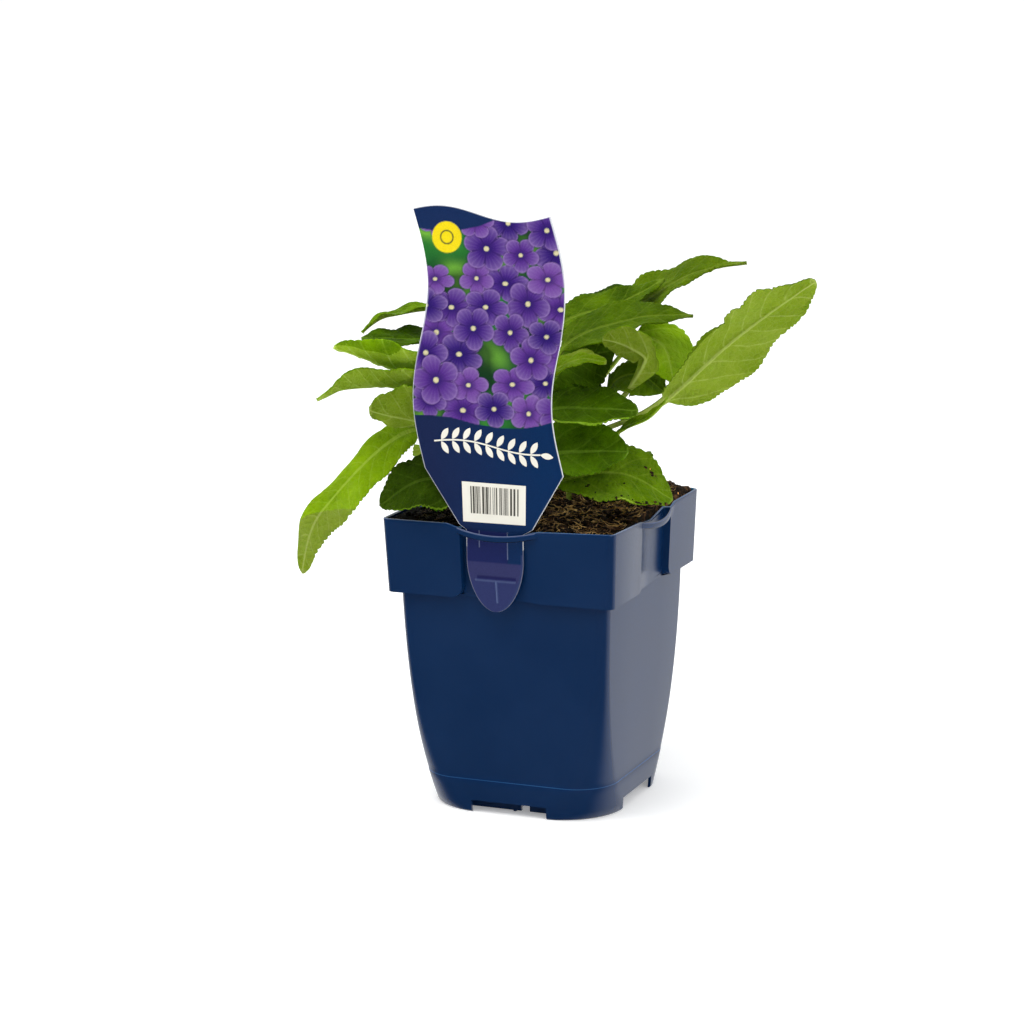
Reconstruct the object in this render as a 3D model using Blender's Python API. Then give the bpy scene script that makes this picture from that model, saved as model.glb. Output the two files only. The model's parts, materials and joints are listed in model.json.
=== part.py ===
"""Potted bellflower: a clump of leaves in a square nursery pot, with its picture label.

Metres, +Z up. The origin is the centre of the pot's underside, and the pot's front looks along -Y.
"""

import math
from collections import namedtuple

import bmesh
import bpy
from mathutils import Matrix, Vector, noise

# Driving dimensions of the pot: an 11 cm square nursery pot of about 1 litre
POT_HEIGHT = 0.134
RIM_HALF = 0.055
RIM_RADIUS = 0.0035
COLLAR_BOTTOM = 0.1005
COLLAR_BOTTOM_HALF = 0.0536
BODY_TOP_HALF = 0.0495
BODY_TOP_RADIUS = 0.005
BODY_FOOT_HALF = 0.0444
BODY_FOOT_RADIUS = 0.0284
BODY_BULGE = 1.22
BODY_ROUNDING = 3.06
WALL = 0.0014
FLOOR_UNDERSIDE = 0.006
FLOOR_THICKNESS = 0.0014
BODY_LEVELS = (0.0, 0.012, 0.026, 0.044, 0.066, 0.085)
CORNER_STEPS = 6

# The label holder on each side: distance along the side, how far the collar steps in there, and 1 for
# the two points of its steep step, which stands further out on an inner face. The peat rounds it off.
RECESS = ((-0.0235, 0, 0), (-0.0174, 0, 1), (-0.0170, 0.0033, 1), (0, 0.0029, 0), (0.0125, 0.0023, 0),
          (0.020, 0, 0))
SOIL_RECESS = RECESS[:1] + RECESS[2:]
RIM_DIP = 0.004
RIM_DIP_REACH = 0.023
STRAP_REACH = 0.0195
STRAP_BOW = 0.0027
STRAP_SEAT = 0.0543
STRAP_THICKNESS = 0.0012
STRAP_HEIGHT = 0.003
STRAP_RISE = 0.0005
STRAP_STEPS = 8

# The feet and what shows between them
FOOT_NOTCH_WIDTH = 0.036
FOOT_NOTCH_HEIGHT = 0.0056
RIB_HALF = 0.038
RIB_THICKNESS = 0.0014
RIB_BOTTOM = 0.0008
RIB_GAP = (0.0035, 0.0075)
RIB_REACH = 0.032
DRAIN_RADIUS = 0.004
DRAIN_OFFSET = 0.022
DRAIN_SIDES = 10

# The peat
SOIL_CLEARANCE = 0.0005
SOIL_LEVEL = 0.1332
SOIL_HEAP = 0.003
SOIL_HOLLOW = 0.005
SOIL_ROUGHNESS = 0.0013
SOIL_BELOW_RIM = 0.0005
SOIL_LUMPS = 70
SOIL_CRUMBS = 190
SOIL_RINGS = (0.86, 0.64, 0.43, 0.21)
SOIL_CORNER_STEPS = 2
HOLE_DEPTH = 0.009
HOLE_CLEARANCE = 0.0004
HOLE_SIDES = 6

# The label
LABEL_THICKNESS = 0.0007
LABEL_Y = -0.0534
LABEL_HALF_WIDTH = 0.0326
LABEL_TOP = 0.270
LABEL_SHOULDER = 0.158
LABEL_CENTRE = -0.0022
LABEL_SIDE_CREST = 0.240
LABEL_SIDE_SWING = 0.0041
LABEL_SIDE_PERIOD = 0.104
LABEL_BEND = 0.215
LABEL_LEAN = 0.036
LABEL_TAPER = 0.0008
LABEL_TOP_CREST = -0.0245
LABEL_TOP_SWING = 0.0031
LABEL_TOP_PERIOD = 0.069
LABEL_STEPS = 11
NECK_RIGHT = ((0.0124, 0.1310), (0.0168, 0.1334))
NECK_LEFT = ((-0.0178, 0.1338), (-0.0144, 0.1316))
TONGUE_CENTRE = -0.001
TONGUE_HALF_WIDTH = 0.0134
TONGUE_SHOULDER = 0.118
TONGUE_TIP = 0.0956
TONGUE_FULLNESS = 1.7
TONGUE_STEPS = 7

# How a leaf is built up
BLADE_THICKNESS = 0.0007
RIB_EXTRA = 0.0006
STALK_RADIUS = 0.0012
STALK_STEPS = 3
STALK_TAPER = 0.25
STALK_TIP = 0.3
COLLAR_HEIGHT = 0.002
TOOTH_SPACING = 0.0098
TOOTH_DEPTH = 0.0009
WAVE_TURNS = 17
WAVE_SLANT = 2
WAVE_SHIFT = 900
ACROSS = (-1.0, -0.5, 0.0, 0.5, 1.0)

GREENS = {"bright": (0.24, 0.34, 0.025), "mid": (0.16, 0.27, 0.015), "dark": (0.05, 0.11, 0.01)}

# A blade's form: where along it is widest, and how full it is towards its base and towards its tip,
# where a smaller power is fuller
FORMS = {"lance": (0.38, 0.7, 1.0), "oval": (0.45, 0.6, 0.6), "broad": (0.36, 0.6, 0.5)}

# Root is where the stalk leaves the soil. The blade runs from base through middle to tip, and roll
# turns it about that line, in degrees, at its base and at its tip. Cup lifts its edges and wave
# ripples them.
Leaf = namedtuple("Leaf", "name green form root base middle tip width roll tip_roll cup wave")
LEAVES = (
    Leaf("leaf_left_top", "mid", "oval", (-0.030, -0.006), (-0.040, -0.012, 0.219),
         (-0.066, -0.019, 0.219), (-0.078, -0.022, 0.211), 0.017, -4, -4, 0.15, 0.0008),
    Leaf("leaf_left_upper", "dark", "oval", (-0.031, -0.015), (-0.034, -0.018, 0.205),
         (-0.057, -0.028, 0.210), (-0.073, -0.033, 0.210), 0.024, -10, -8, 0.15, 0.0010),
    Leaf("leaf_left_wide", "mid", "oval", (-0.022, -0.017), (-0.031, -0.028, 0.187),
         (-0.056, -0.039, 0.199), (-0.080, -0.047, 0.208), 0.028, 28, 30, 0.4, 0.0010),
    Leaf("leaf_left_long", "mid", "lance", (-0.030, -0.025), (-0.033, -0.036, 0.183),
         (-0.065, -0.049, 0.192), (-0.083, -0.059, 0.186), 0.020, 24, 34, 0.5, 0.0010),
    Leaf("leaf_left_short", "mid", "oval", (-0.021, -0.030), (-0.033, -0.044, 0.176),
         (-0.045, -0.049, 0.181), (-0.057, -0.060, 0.184), 0.024, 50, 60, 0.25, 0.0008),
    Leaf("leaf_left_drooping", "bright", "oval", (-0.034, -0.017), (-0.047, -0.030, 0.169),
         (-0.082, -0.055, 0.135), (-0.090, -0.063, 0.108), 0.019, -26, -50, -0.1, 0.0010),
    Leaf("leaf_left_low", "dark", "oval", (-0.020, -0.035), (-0.024, -0.040, 0.149),
         (-0.038, -0.049, 0.151), (-0.056, -0.053, 0.139), 0.026, -44, -40, 0.1, 0.0008),
    Leaf("leaf_right_behind", "dark", "oval", (-0.013, 0.014), (-0.006, 0.021, 0.202),
         (0.012, 0.040, 0.218), (0.024, 0.056, 0.225), 0.025, 16, 10, 0.2, 0.0010),
    Leaf("leaf_right_arching", "bright", "lance", (-0.010, 0.024), (0.020, 0.026, 0.205),
         (0.053, 0.035, 0.233), (0.083, 0.039, 0.241), 0.030, 34, 14, 0.1, 0.0012),
    Leaf("leaf_right_middle", "mid", "lance", (-0.015, 0.005), (0.005, 0.008, 0.212),
         (0.029, 0.021, 0.223), (0.047, 0.032, 0.233), 0.024, 30, 20, 0.1, 0.0010),
    Leaf("leaf_right_pointed", "mid", "lance", (-0.012, -0.005), (0.013, -0.008, 0.205),
         (0.042, 0.003, 0.219), (0.067, 0.013, 0.220), 0.028, 26, 20, 0.1, 0.0010),
    Leaf("leaf_right_folded", "bright", "oval", (0.006, 0.016), (0.054, -0.011, 0.203),
         (0.046, -0.014, 0.210), (0.036, -0.018, 0.213), 0.019, 50, 50, 0.1, 0.0006),
    Leaf("leaf_right_facing", "bright", "oval", (-0.006, 0.030), (0.039, 0.011, 0.208),
         (0.053, 0.011, 0.207), (0.060, 0.006, 0.191), 0.030, 20, 20, 0.1, 0.0010),
    Leaf("leaf_right_large", "bright", "broad", (-0.008, -0.002), (0.060, -0.005, 0.185),
         (0.089, 0.003, 0.212), (0.123, 0.013, 0.238), 0.039, -58, -50, -0.1, 0.0015),
    Leaf("leaf_right_dark", "dark", "oval", (-0.008, -0.020), (0.013, -0.029, 0.180),
         (0.036, -0.024, 0.183), (0.053, -0.019, 0.182), 0.025, 36, 30, 0.1, 0.0008),
    Leaf("leaf_right_lower", "dark", "oval", (-0.010, -0.028), (0.014, -0.031, 0.161),
         (0.033, -0.025, 0.164), (0.049, -0.021, 0.164), 0.029, 44, 40, 0.1, 0.0008),
    Leaf("leaf_right_resting", "mid", "oval", (-0.003, -0.033), (0.017, -0.027, 0.149),
         (0.043, -0.015, 0.153), (0.063, -0.004, 0.140), 0.039, 33, 30, 0.1, 0.0010),
    Leaf("leaf_right_upturned", "bright", "oval", (-0.008, -0.013), (0.013, -0.025, 0.195),
         (0.026, -0.023, 0.204), (0.039, -0.021, 0.203), 0.018, 20, 10, 0.1, 0.0006),
    Leaf("leaf_right_narrow", "mid", "lance", (0.019, 0.023), (0.039, -0.006, 0.170),
         (0.056, -0.014, 0.179), (0.065, -0.014, 0.188), 0.008, 30, 30, 0.2, 0.0003),
    Leaf("leaf_right_shaded", "dark", "oval", (-0.008, 0.014), (0.004, 0.002, 0.184),
         (0.014, 0.006, 0.185), (0.025, 0.010, 0.184), 0.022, 40, 40, 0.1, 0.0008),
    Leaf("leaf_right_inner", "dark", "oval", (-0.019, -0.004), (0.008, -0.002, 0.193),
         (0.021, 0.007, 0.201), (0.030, 0.013, 0.203), 0.016, 50, 40, 0.1, 0.0006),
    Leaf("leaf_right_small", "mid", "oval", (0.008, 0.025), (0.032, 0.004, 0.189),
         (0.043, 0.006, 0.194), (0.055, 0.008, 0.186), 0.018, 30, 30, 0.1, 0.0004),
    Leaf("leaf_back_left", "mid", "oval", (-0.041, -0.000), (-0.046, 0.024, 0.165),
         (-0.069, 0.042, 0.170), (-0.085, 0.060, 0.161), 0.030, 10, 0, 0.2, 0.0012),
    Leaf("leaf_back_middle", "bright", "oval", (-0.031, 0.013), (-0.035, 0.033, 0.174),
         (-0.048, 0.060, 0.182), (-0.060, 0.083, 0.178), 0.032, 0, 0, 0.2, 0.0012),
    Leaf("leaf_back_right", "mid", "oval", (-0.024, 0.027), (-0.020, 0.046, 0.163),
         (-0.018, 0.075, 0.168), (-0.018, 0.099, 0.159), 0.030, -10, 0, 0.2, 0.0012),
    Leaf("leaf_back_far", "dark", "oval", (-0.007, 0.038), (0.001, 0.057, 0.143),
         (0.008, 0.077, 0.145), (0.015, 0.093, 0.134), 0.028, 10, 0, 0.15, 0.0010),
    Leaf("leaf_back_low", "mid", "oval", (-0.041, 0.011), (-0.052, 0.028, 0.144),
         (-0.068, 0.039, 0.147), (-0.079, 0.051, 0.138), 0.026, 10, 0, 0.15, 0.0010),
    Leaf("leaf_inner_upright", "bright", "oval", (-0.023, 0.003), (-0.023, 0.006, 0.192),
         (-0.025, 0.009, 0.216), (-0.025, 0.007, 0.238), 0.022, 0, 0, 0.3, 0.0008),
    Leaf("leaf_inner_front", "mid", "oval", (-0.017, -0.021), (-0.016, -0.022, 0.193),
         (-0.014, -0.030, 0.213), (-0.014, -0.034, 0.230), 0.022, 0, 0, 0.3, 0.0008),
)


def body_half(z):
    """Half the body's width at a height, below the collar."""
    depth = 1 - z / COLLAR_BOTTOM
    return BODY_TOP_HALF + (BODY_FOOT_HALF - BODY_TOP_HALF) * depth**BODY_BULGE


def body_radius(z):
    """The body's corner radius at a height: nearly square at the top, well rounded at the foot."""
    depth = 1 - z / COLLAR_BOTTOM
    return BODY_TOP_RADIUS + (BODY_FOOT_RADIUS - BODY_TOP_RADIUS) * depth**BODY_ROUNDING


def rim_height(x, y):
    """The rim's height, which dips towards the middle of each side."""
    along = min(abs(x), abs(y)) / RIM_DIP_REACH
    return POT_HEIGHT - RIM_DIP * max(0.0, 1 - along**2)


def outline(half, radius, recess, corner_steps, inset=0.0, recess_points=RECESS):
    """Points round a rounded square, with the label holder's recess in each side.

    Inset is how far the ring lies inside the pot's outer face, so that the step's wall keeps its thickness.
    """
    profile = [(along - inset * step, depth) for along, depth, step in recess_points]
    straight = half - radius
    spread = straight / (RIM_HALF - RIM_RADIUS)
    points = []
    for side in range(4):
        mirrored = [(-along, depth) for along, depth in reversed(profile)]
        row = [Vector((along * spread, -half + depth * recess))
               for along, depth in (mirrored if side % 2 else profile)]
        for step in range(corner_steps + 1):
            angle = math.radians(90) * (step / corner_steps - 1)
            row.append(Vector((straight + radius * math.cos(angle),
                               -straight + radius * math.sin(angle))))
        turn = Matrix.Rotation(math.radians(90) * side, 2)
        points += [turn @ point for point in row]
    return points


def loft(bm, rings):
    """Skin between rings of equal length, closed round each ring. Returns the rings' vertices."""
    rows = [[bm.verts.new(point) for point in ring] for ring in rings]
    for low, high in zip(rows, rows[1:]):
        for i in range(len(low)):
            j = (i + 1) % len(low)
            bm.faces.new((low[i], low[j], high[j], high[i]))
    return rows


def finish_object(name, bm, material, collection):
    """Turn a bmesh into an object of the collection, with its faces pointing out."""
    bmesh.ops.recalc_face_normals(bm, faces=bm.faces)
    mesh = bpy.data.meshes.new(name)
    bm.to_mesh(mesh)
    bm.free()
    obj = bpy.data.objects.new(name, mesh)
    collection.objects.link(obj)
    if material:
        mesh.materials.append(material)
    return obj


def hidden(obj):
    """Mark an object as a tool for a Boolean."""
    obj.hide_render = True
    obj.display_type = "WIRE"
    return obj


def boolean(obj, operation, tools):
    """Cut a collection of tools from an object, or join them to it."""
    modifier = obj.modifiers.new(tools.name, "BOOLEAN")
    modifier.operation = operation
    modifier.operand_type = "COLLECTION"
    modifier.collection = tools
    modifier.solver = "EXACT"


def box(name, low, high, collection):
    """A hidden box between two corners."""
    bm = bmesh.new()
    bmesh.ops.create_cube(bm, size=1)
    size = Vector(high) - Vector(low)
    bmesh.ops.scale(bm, vec=size, verts=bm.verts)
    bmesh.ops.translate(bm, vec=(Vector(high) + Vector(low)) / 2, verts=bm.verts)
    return hidden(finish_object(name, bm, None, collection))


def pot_rings():
    """The pot's section rings, from the floor's underside out, up, over the rim and down inside."""
    def ring(z, half, radius, recess=0.0, inset=0.0):
        return [(p.x, p.y, z) for p in outline(half, radius, recess, CORNER_STEPS, inset)]

    def rim(inset):
        points = outline(RIM_HALF - inset, RIM_RADIUS - inset, 1.0, CORNER_STEPS, inset)
        return [(p.x, p.y, rim_height(p.x, p.y)) for p in points]

    def body(z, inset):
        return ring(z, body_half(z) - inset, body_radius(z) - inset)

    floor_top = FLOOR_UNDERSIDE + FLOOR_THICKNESS
    ledge_top = COLLAR_BOTTOM + WALL
    rings = [body(FLOOR_UNDERSIDE, WALL), body(0.0, WALL)]
    rings += [body(z, 0.0) for z in BODY_LEVELS]
    rings.append(ring(COLLAR_BOTTOM, BODY_TOP_HALF, BODY_TOP_RADIUS))
    rings.append(ring(COLLAR_BOTTOM, COLLAR_BOTTOM_HALF, RIM_RADIUS, 1.0))
    rings += [rim(0.0), rim(WALL)]
    rings.append(ring(ledge_top, COLLAR_BOTTOM_HALF - WALL, RIM_RADIUS - WALL, 1.0, WALL))
    rings.append(ring(ledge_top, BODY_TOP_HALF - WALL, BODY_TOP_RADIUS - WALL))
    rings += [body(z, WALL) for z in reversed(BODY_LEVELS) if z > floor_top]
    rings.append(body(floor_top, WALL))
    return rings


def make_strap(side, collection):
    """The thin band that bows out across a label holder, level with the rim."""
    bm = bmesh.new()
    sections = []
    for step in range(STRAP_STEPS + 1):
        along = STRAP_REACH * (2 * step / STRAP_STEPS - 1)
        out = STRAP_SEAT + STRAP_BOW * (1 - (along / STRAP_REACH)**2)
        top = rim_height(along, RIM_HALF) + STRAP_RISE * (1 - (along / STRAP_REACH)**2)
        sections.append([(along, -out + dy * STRAP_THICKNESS / 2, top + dz * STRAP_HEIGHT)
                         for dy, dz in ((-1, -1), (1, -1), (1, -0.02), (-1, -0.02))])
    rows = loft(bm, sections)
    bm.faces.new(rows[0])
    bm.faces.new(rows[-1])
    bmesh.ops.rotate(bm, verts=bm.verts, matrix=Matrix.Rotation(math.radians(90) * side, 3, "Z"))
    return hidden(finish_object(f"strap_{side}", bm, None, collection))


def make_ribs(side, collection):
    """Two low ribs under the floor, behind a side's notch, with the gap that light shows through."""
    top = FLOOR_UNDERSIDE + FLOOR_THICKNESS / 2
    for number, (low, high) in enumerate(((-RIB_REACH, RIB_GAP[0]), (RIB_GAP[1], RIB_REACH))):
        rib = box(f"rib_{side}_{number}", (low, -RIB_HALF, RIB_BOTTOM),
                  (high, -RIB_HALF + RIB_THICKNESS, top), collection)
        rib.rotation_euler.z = math.radians(90) * side


def make_cross(collection):
    """The cross of ribs under the floor, which stands level with the feet and meets at the origin."""
    reach, across = RIB_HALF - RIB_THICKNESS / 2, RIB_THICKNESS / 2
    top = FLOOR_UNDERSIDE + FLOOR_THICKNESS / 2
    box("cross_x", (-reach, -across, 0), (reach, across, top), collection)
    box("cross_y", (-across, -reach, 0), (across, reach, top), collection)


def make_pot(material, collection, tools):
    """The moulded pot: a thin shell, with notched feet, drain holes, ribs and label straps."""
    bm = bmesh.new()
    rows = loft(bm, pot_rings())
    bm.faces.new(rows[0])
    bm.faces.new(rows[-1])
    pot = finish_object("pot", bm, material, collection)

    cuts = tools("pot_cuts")
    reach, across = RIM_HALF * 2, FOOT_NOTCH_WIDTH / 2
    box("notch_x", (-reach, -across, -FOOT_NOTCH_HEIGHT), (reach, across, FOOT_NOTCH_HEIGHT), cuts)
    box("notch_y", (-across, -reach, -FOOT_NOTCH_HEIGHT), (across, reach, FOOT_NOTCH_HEIGHT), cuts)
    for x in (-DRAIN_OFFSET, DRAIN_OFFSET):
        for y in (-DRAIN_OFFSET, DRAIN_OFFSET):
            make_hole(f"drain_{x:+.3f}_{y:+.3f}", (x, y), 0.0, FLOOR_UNDERSIDE + 2 * FLOOR_THICKNESS,
                      DRAIN_RADIUS, DRAIN_SIDES, cuts)
    boolean(pot, "DIFFERENCE", cuts)

    additions = tools("pot_additions")
    for side in range(4):
        make_strap(side, additions)
        make_ribs(side, additions)
    make_cross(additions)
    boolean(pot, "UNION", additions)
    return pot


def make_hole(name, place, bottom, top, radius, sides, collection):
    """A plain upright hole, as a hidden prism to be cut away."""
    bm = bmesh.new()
    bmesh.ops.create_cone(bm, cap_ends=True, segments=sides, radius1=radius, radius2=radius,
                          depth=top - bottom)
    bmesh.ops.translate(bm, vec=(place[0], place[1], (top + bottom) / 2), verts=bm.verts)
    return hidden(finish_object(name, bm, None, collection))


def soil_height(x, y):
    """The peat's surface: uneven, heaped at the back right corner and lower at the front right one."""
    heap = max(0.0, (x + y) / (2 * RIM_HALF))**2
    hollow = max(0.0, (x - y) / (2 * RIM_HALF))**2
    lumps = noise.noise(Vector((x, y, 0.3)) * SOIL_LUMPS)
    lumps += 0.5 * noise.noise(Vector((x, y, 0.9)) * SOIL_CRUMBS)
    return SOIL_LEVEL + SOIL_HEAP * heap - SOIL_HOLLOW * hollow + SOIL_ROUGHNESS * lumps


def soil_rings():
    """The peat's rings: up the inside of the pot, then in over its surface."""
    inset = WALL + SOIL_CLEARANCE

    def ring(z, half, radius, recess=0.0):
        points = outline(half, radius, recess, SOIL_CORNER_STEPS, inset, SOIL_RECESS)
        return [(p.x, p.y, z) for p in points]

    bottom = FLOOR_UNDERSIDE + FLOOR_THICKNESS + SOIL_CLEARANCE
    levels = [bottom] + [z for z in BODY_LEVELS if z > bottom]
    rings = [ring(z, body_half(z) - inset, body_radius(z) - inset) for z in levels]
    ledge = COLLAR_BOTTOM + WALL + SOIL_CLEARANCE
    rings.append(ring(ledge, BODY_TOP_HALF - inset, BODY_TOP_RADIUS - inset))
    rings.append(ring(ledge, COLLAR_BOTTOM_HALF - inset, RIM_RADIUS - inset, 1.0))
    edge = outline(RIM_HALF - inset - SOIL_CLEARANCE, RIM_RADIUS - inset, 1.0, SOIL_CORNER_STEPS,
                   inset, SOIL_RECESS)
    rings.append([(p.x, p.y, min(soil_height(p.x, p.y), rim_height(p.x, p.y) - SOIL_BELOW_RIM))
                  for p in edge])
    for share in SOIL_RINGS:
        rings.append([(p.x * share, p.y * share, soil_height(p.x * share, p.y * share)) for p in edge])
    return rings


def make_soil(material, collection, tools):
    """The peat that fills the pot, with a plain hole for each stalk."""
    bm = bmesh.new()
    rows = loft(bm, soil_rings())
    bm.faces.new(rows[0])
    centre = bm.verts.new((0, 0, soil_height(0, 0)))
    last = rows[-1]
    for i in range(len(last)):
        bm.faces.new((last[i], last[(i + 1) % len(last)], centre))
    bmesh.ops.triangulate(bm, faces=bm.faces)
    soil = finish_object("soil", bm, material, collection)
    holes = tools("soil_holes")
    radius = (STALK_RADIUS + HOLE_CLEARANCE) / math.cos(math.pi / HOLE_SIDES)
    for leaf in LEAVES:
        surface = soil_height(*leaf.root)
        make_hole(f"hole_{leaf.name}", leaf.root, surface - HOLE_DEPTH, surface + HOLE_DEPTH, radius,
                  HOLE_SIDES, holes)
    boolean(soil, "DIFFERENCE", holes)
    return soil


def label_side(z):
    """How far the label's wavy middle line lies to the right at a height."""
    turns = (z - LABEL_SIDE_CREST) / LABEL_SIDE_PERIOD
    lean = LABEL_LEAN * max(0.0, z - LABEL_BEND)
    return LABEL_CENTRE + LABEL_SIDE_SWING * math.cos(math.tau * turns) - lean


def label_half(z):
    """Half the label's width at a height: a little less near its top."""
    return LABEL_HALF_WIDTH - min(LABEL_TAPER, LABEL_LEAN * max(0.0, z - LABEL_BEND))


def label_top(x):
    """The height of the label's wavy top edge."""
    turns = (x - LABEL_TOP_CREST) / LABEL_TOP_PERIOD
    return LABEL_TOP + LABEL_TOP_SWING * math.cos(math.tau * turns)


def label_outline():
    """The label's outline in its own plane, as (across, up) points, anticlockwise from its tip."""
    def tongue(side):
        points = []
        for step in range(TONGUE_STEPS):
            drop = step / TONGUE_STEPS
            half = TONGUE_HALF_WIDTH * math.sqrt(1 - drop**TONGUE_FULLNESS)
            z = TONGUE_SHOULDER + (TONGUE_TIP - TONGUE_SHOULDER) * drop
            points.append((TONGUE_CENTRE + side * half, z))
        return points

    right, left, top = [], [], []
    for step in range(LABEL_STEPS):
        z = LABEL_SHOULDER + (LABEL_TOP - LABEL_SHOULDER) * step / LABEL_STEPS
        right.append((label_side(z) + label_half(z), z))
        left.append((label_side(z) - label_half(z), z))
    for step in range(LABEL_STEPS + 1):
        x = label_side(LABEL_TOP) + label_half(LABEL_TOP) * (1 - 2 * step / LABEL_STEPS)
        top.append((x, label_top(x)))
    points = [(TONGUE_CENTRE, TONGUE_TIP)] + tongue(1)[::-1] + list(NECK_RIGHT)
    points += right + top + left[::-1] + list(NECK_LEFT) + tongue(-1)
    return points


def make_label(material, collection):
    """The picture label: a thin sheet whose tongue stands behind the front strap."""
    curve = bpy.data.curves.new("label", "CURVE")
    curve.dimensions = "2D"
    curve.fill_mode = "BOTH"
    curve.extrude = LABEL_THICKNESS / 2
    spline = curve.splines.new("POLY")
    points = label_outline()
    spline.points.add(len(points) - 1)
    for slot, (across, up) in zip(spline.points, points):
        slot.co = (across, up, 0, 1)
    spline.use_cyclic_u = True
    curve.materials.append(material)
    label = bpy.data.objects.new("label", curve)
    label.rotation_euler.x = math.radians(90)
    label.location.y = LABEL_Y
    collection.objects.link(label)
    return label


def smooth_line(points, upright):
    """A smooth curve through points, upright at the first few.

    Returns the curve as a function of 0 to 1, each point's place along it, and its length.
    """
    points = [Vector(p) for p in points]
    marks = [0.0]
    for a, b in zip(points, points[1:]):
        marks.append(marks[-1] + (b - a).length)
    slopes = []
    for i, point in enumerate(points):
        before = points[max(i - 1, 0)]
        after = points[min(i + 1, len(points) - 1)]
        span = marks[min(i + 1, len(points) - 1)] - marks[max(i - 1, 0)]
        slopes.append(Vector((0, 0, 1)) if i < upright else (after - before) / span)
    if len(points) > 2:
        chord = (points[-1] - points[-2]) / (marks[-1] - marks[-2])
        slopes[-1] = (1.5 * chord - 0.5 * slopes[-2]).normalized()

    def at(place):
        distance = marks[0] + (marks[-1] - marks[0]) * place
        i = 0
        while i < len(points) - 2 and distance > marks[i + 1]:
            i += 1
        span = marks[i + 1] - marks[i]
        t = (distance - marks[i]) / span
        h00, h10 = 2 * t**3 - 3 * t**2 + 1, t**3 - 2 * t**2 + t
        h01, h11 = 3 * t**2 - 2 * t**3, t**3 - t**2
        return (points[i] * h00 + slopes[i] * (h10 * span)
                + points[i + 1] * h01 + slopes[i + 1] * (h11 * span))

    return at, [mark / marks[-1] for mark in marks], marks[-1]


def blade_shape(form, along):
    """The blade's half width as a share of its greatest, from its base, 0, to its tip, 1."""
    widest, base_power, tip_power = FORMS[form]
    if along < widest:
        return math.sin(math.pi / 2 * along / widest)**base_power
    return max(0.0, 1 - ((along - widest) / (1 - widest))**2)**tip_power


def leaf_ring(leaf, at, place, along, tooth):
    """One ring of ten points round a leaf: its upper side from left to right, then its lower side."""
    centre = at(place)
    ahead = (at(min(place + 0.004, 1.0)) - at(max(place - 0.004, 0.0))).normalized()
    heading = Vector(leaf.tip) - Vector(leaf.base)
    left = Vector((-heading.y, heading.x, 0))
    left = (left - ahead * left.dot(ahead)).normalized()
    turn = leaf.roll + (leaf.tip_roll - leaf.roll) * along
    left.rotate(Matrix.Rotation(math.radians(turn), 3, ahead))
    up = ahead.cross(left)

    half = blade_shape(leaf.form, along) * leaf.width / 2 - tooth
    flat = min(1.0, max(0.0, half / (leaf.width / 4)))
    half = max(half, STALK_RADIUS * (1 - (1 - STALK_TIP) * along))
    upper, lower = [], []
    for side in ACROSS:
        round_half = STALK_RADIUS * (1 - STALK_TAPER * place) * max(STALK_TIP, math.sqrt(1 - side**2))
        rib = RIB_EXTRA * (1 - along) * (1 - min(1, abs(side) * 2))
        flat_half = BLADE_THICKNESS / 2 * math.hypot(1, 2 * leaf.cup * side) + rib
        thick = flat_half * flat + round_half * (1 - flat)
        thick = max(BLADE_THICKNESS / 2, thick * (1 - along**4))
        ripple = math.sin(along * WAVE_TURNS + side * WAVE_SLANT + leaf.root[0] * WAVE_SHIFT)
        lift = flat * (leaf.cup * half * side**2 + leaf.wave * ripple * side**2)
        middle = centre - left * (half * side) + up * lift
        upper.append(middle + up * thick)
        lower.append(middle - up * thick)
    return upper + lower[::-1]


def make_leaf(leaf, materials, collection):
    """One leaf, lofted as a whole from its round stalk out to its toothed blade."""
    surface = soil_height(*leaf.root)
    foot = (*leaf.root, surface - HOLE_DEPTH + HOLE_CLEARANCE)
    collar = (*leaf.root, surface + COLLAR_HEIGHT)
    at, marks, length = smooth_line((foot, collar, leaf.base, leaf.middle, leaf.tip), 2)
    collar_mark, base_mark = marks[1:3]
    blade_length = (1 - base_mark) * length
    teeth = max(4, round(blade_length / TOOTH_SPACING))

    rings = [leaf_ring(leaf, at, 0.0, 0.0, 0.0)]
    for step in range(STALK_STEPS):
        place = collar_mark + (base_mark - collar_mark) * step / STALK_STEPS
        rings.append(leaf_ring(leaf, at, place, 0.0, 0.0))
    for step in range(2 * teeth + 1):
        along = step / (2 * teeth)
        tooth = TOOTH_DEPTH * (step % 2) if 0 < step < 2 * teeth else 0.0
        rings.append(leaf_ring(leaf, at, base_mark + (1 - base_mark) * along, along, tooth))

    bm = bmesh.new()
    rows = [[bm.verts.new(point) for point in ring] for ring in rings]
    count = len(rows[0])
    for low, high in zip(rows, rows[1:]):
        for i in range(count):
            j = (i + 1) % count
            if i < count / 2:
                faces = ((low[i], low[j], high[j]), (low[i], high[j], high[i]))
            else:
                faces = ((low[j], high[i], low[i]), (low[j], high[j], high[i]))
            for face in faces:
                bm.faces.new(face)
    for row in (rows[0], rows[-1]):
        for i in range(count // 2 - 1):
            a, b, c, d = row[i], row[i + 1], row[count - 2 - i], row[count - 1 - i]
            bm.faces.new((a, b, c))
            bm.faces.new((a, c, d))
    obj = finish_object(leaf.name, bm, materials[leaf.green], collection)
    obj.data.shade_smooth()
    return obj


def make_material(name, colour, roughness):
    """A plain dielectric of one colour."""
    material = bpy.data.materials.new(name)
    material.use_nodes = True
    shader = material.node_tree.nodes["Principled BSDF"]
    shader.inputs["Base Color"].default_value = (*colour, 1)
    shader.inputs["Roughness"].default_value = roughness
    shader.inputs["Metallic"].default_value = 0
    return material


def new_collection(name):
    collection = bpy.data.collections.new(name)
    bpy.context.scene.collection.children.link(collection)
    return collection


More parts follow.
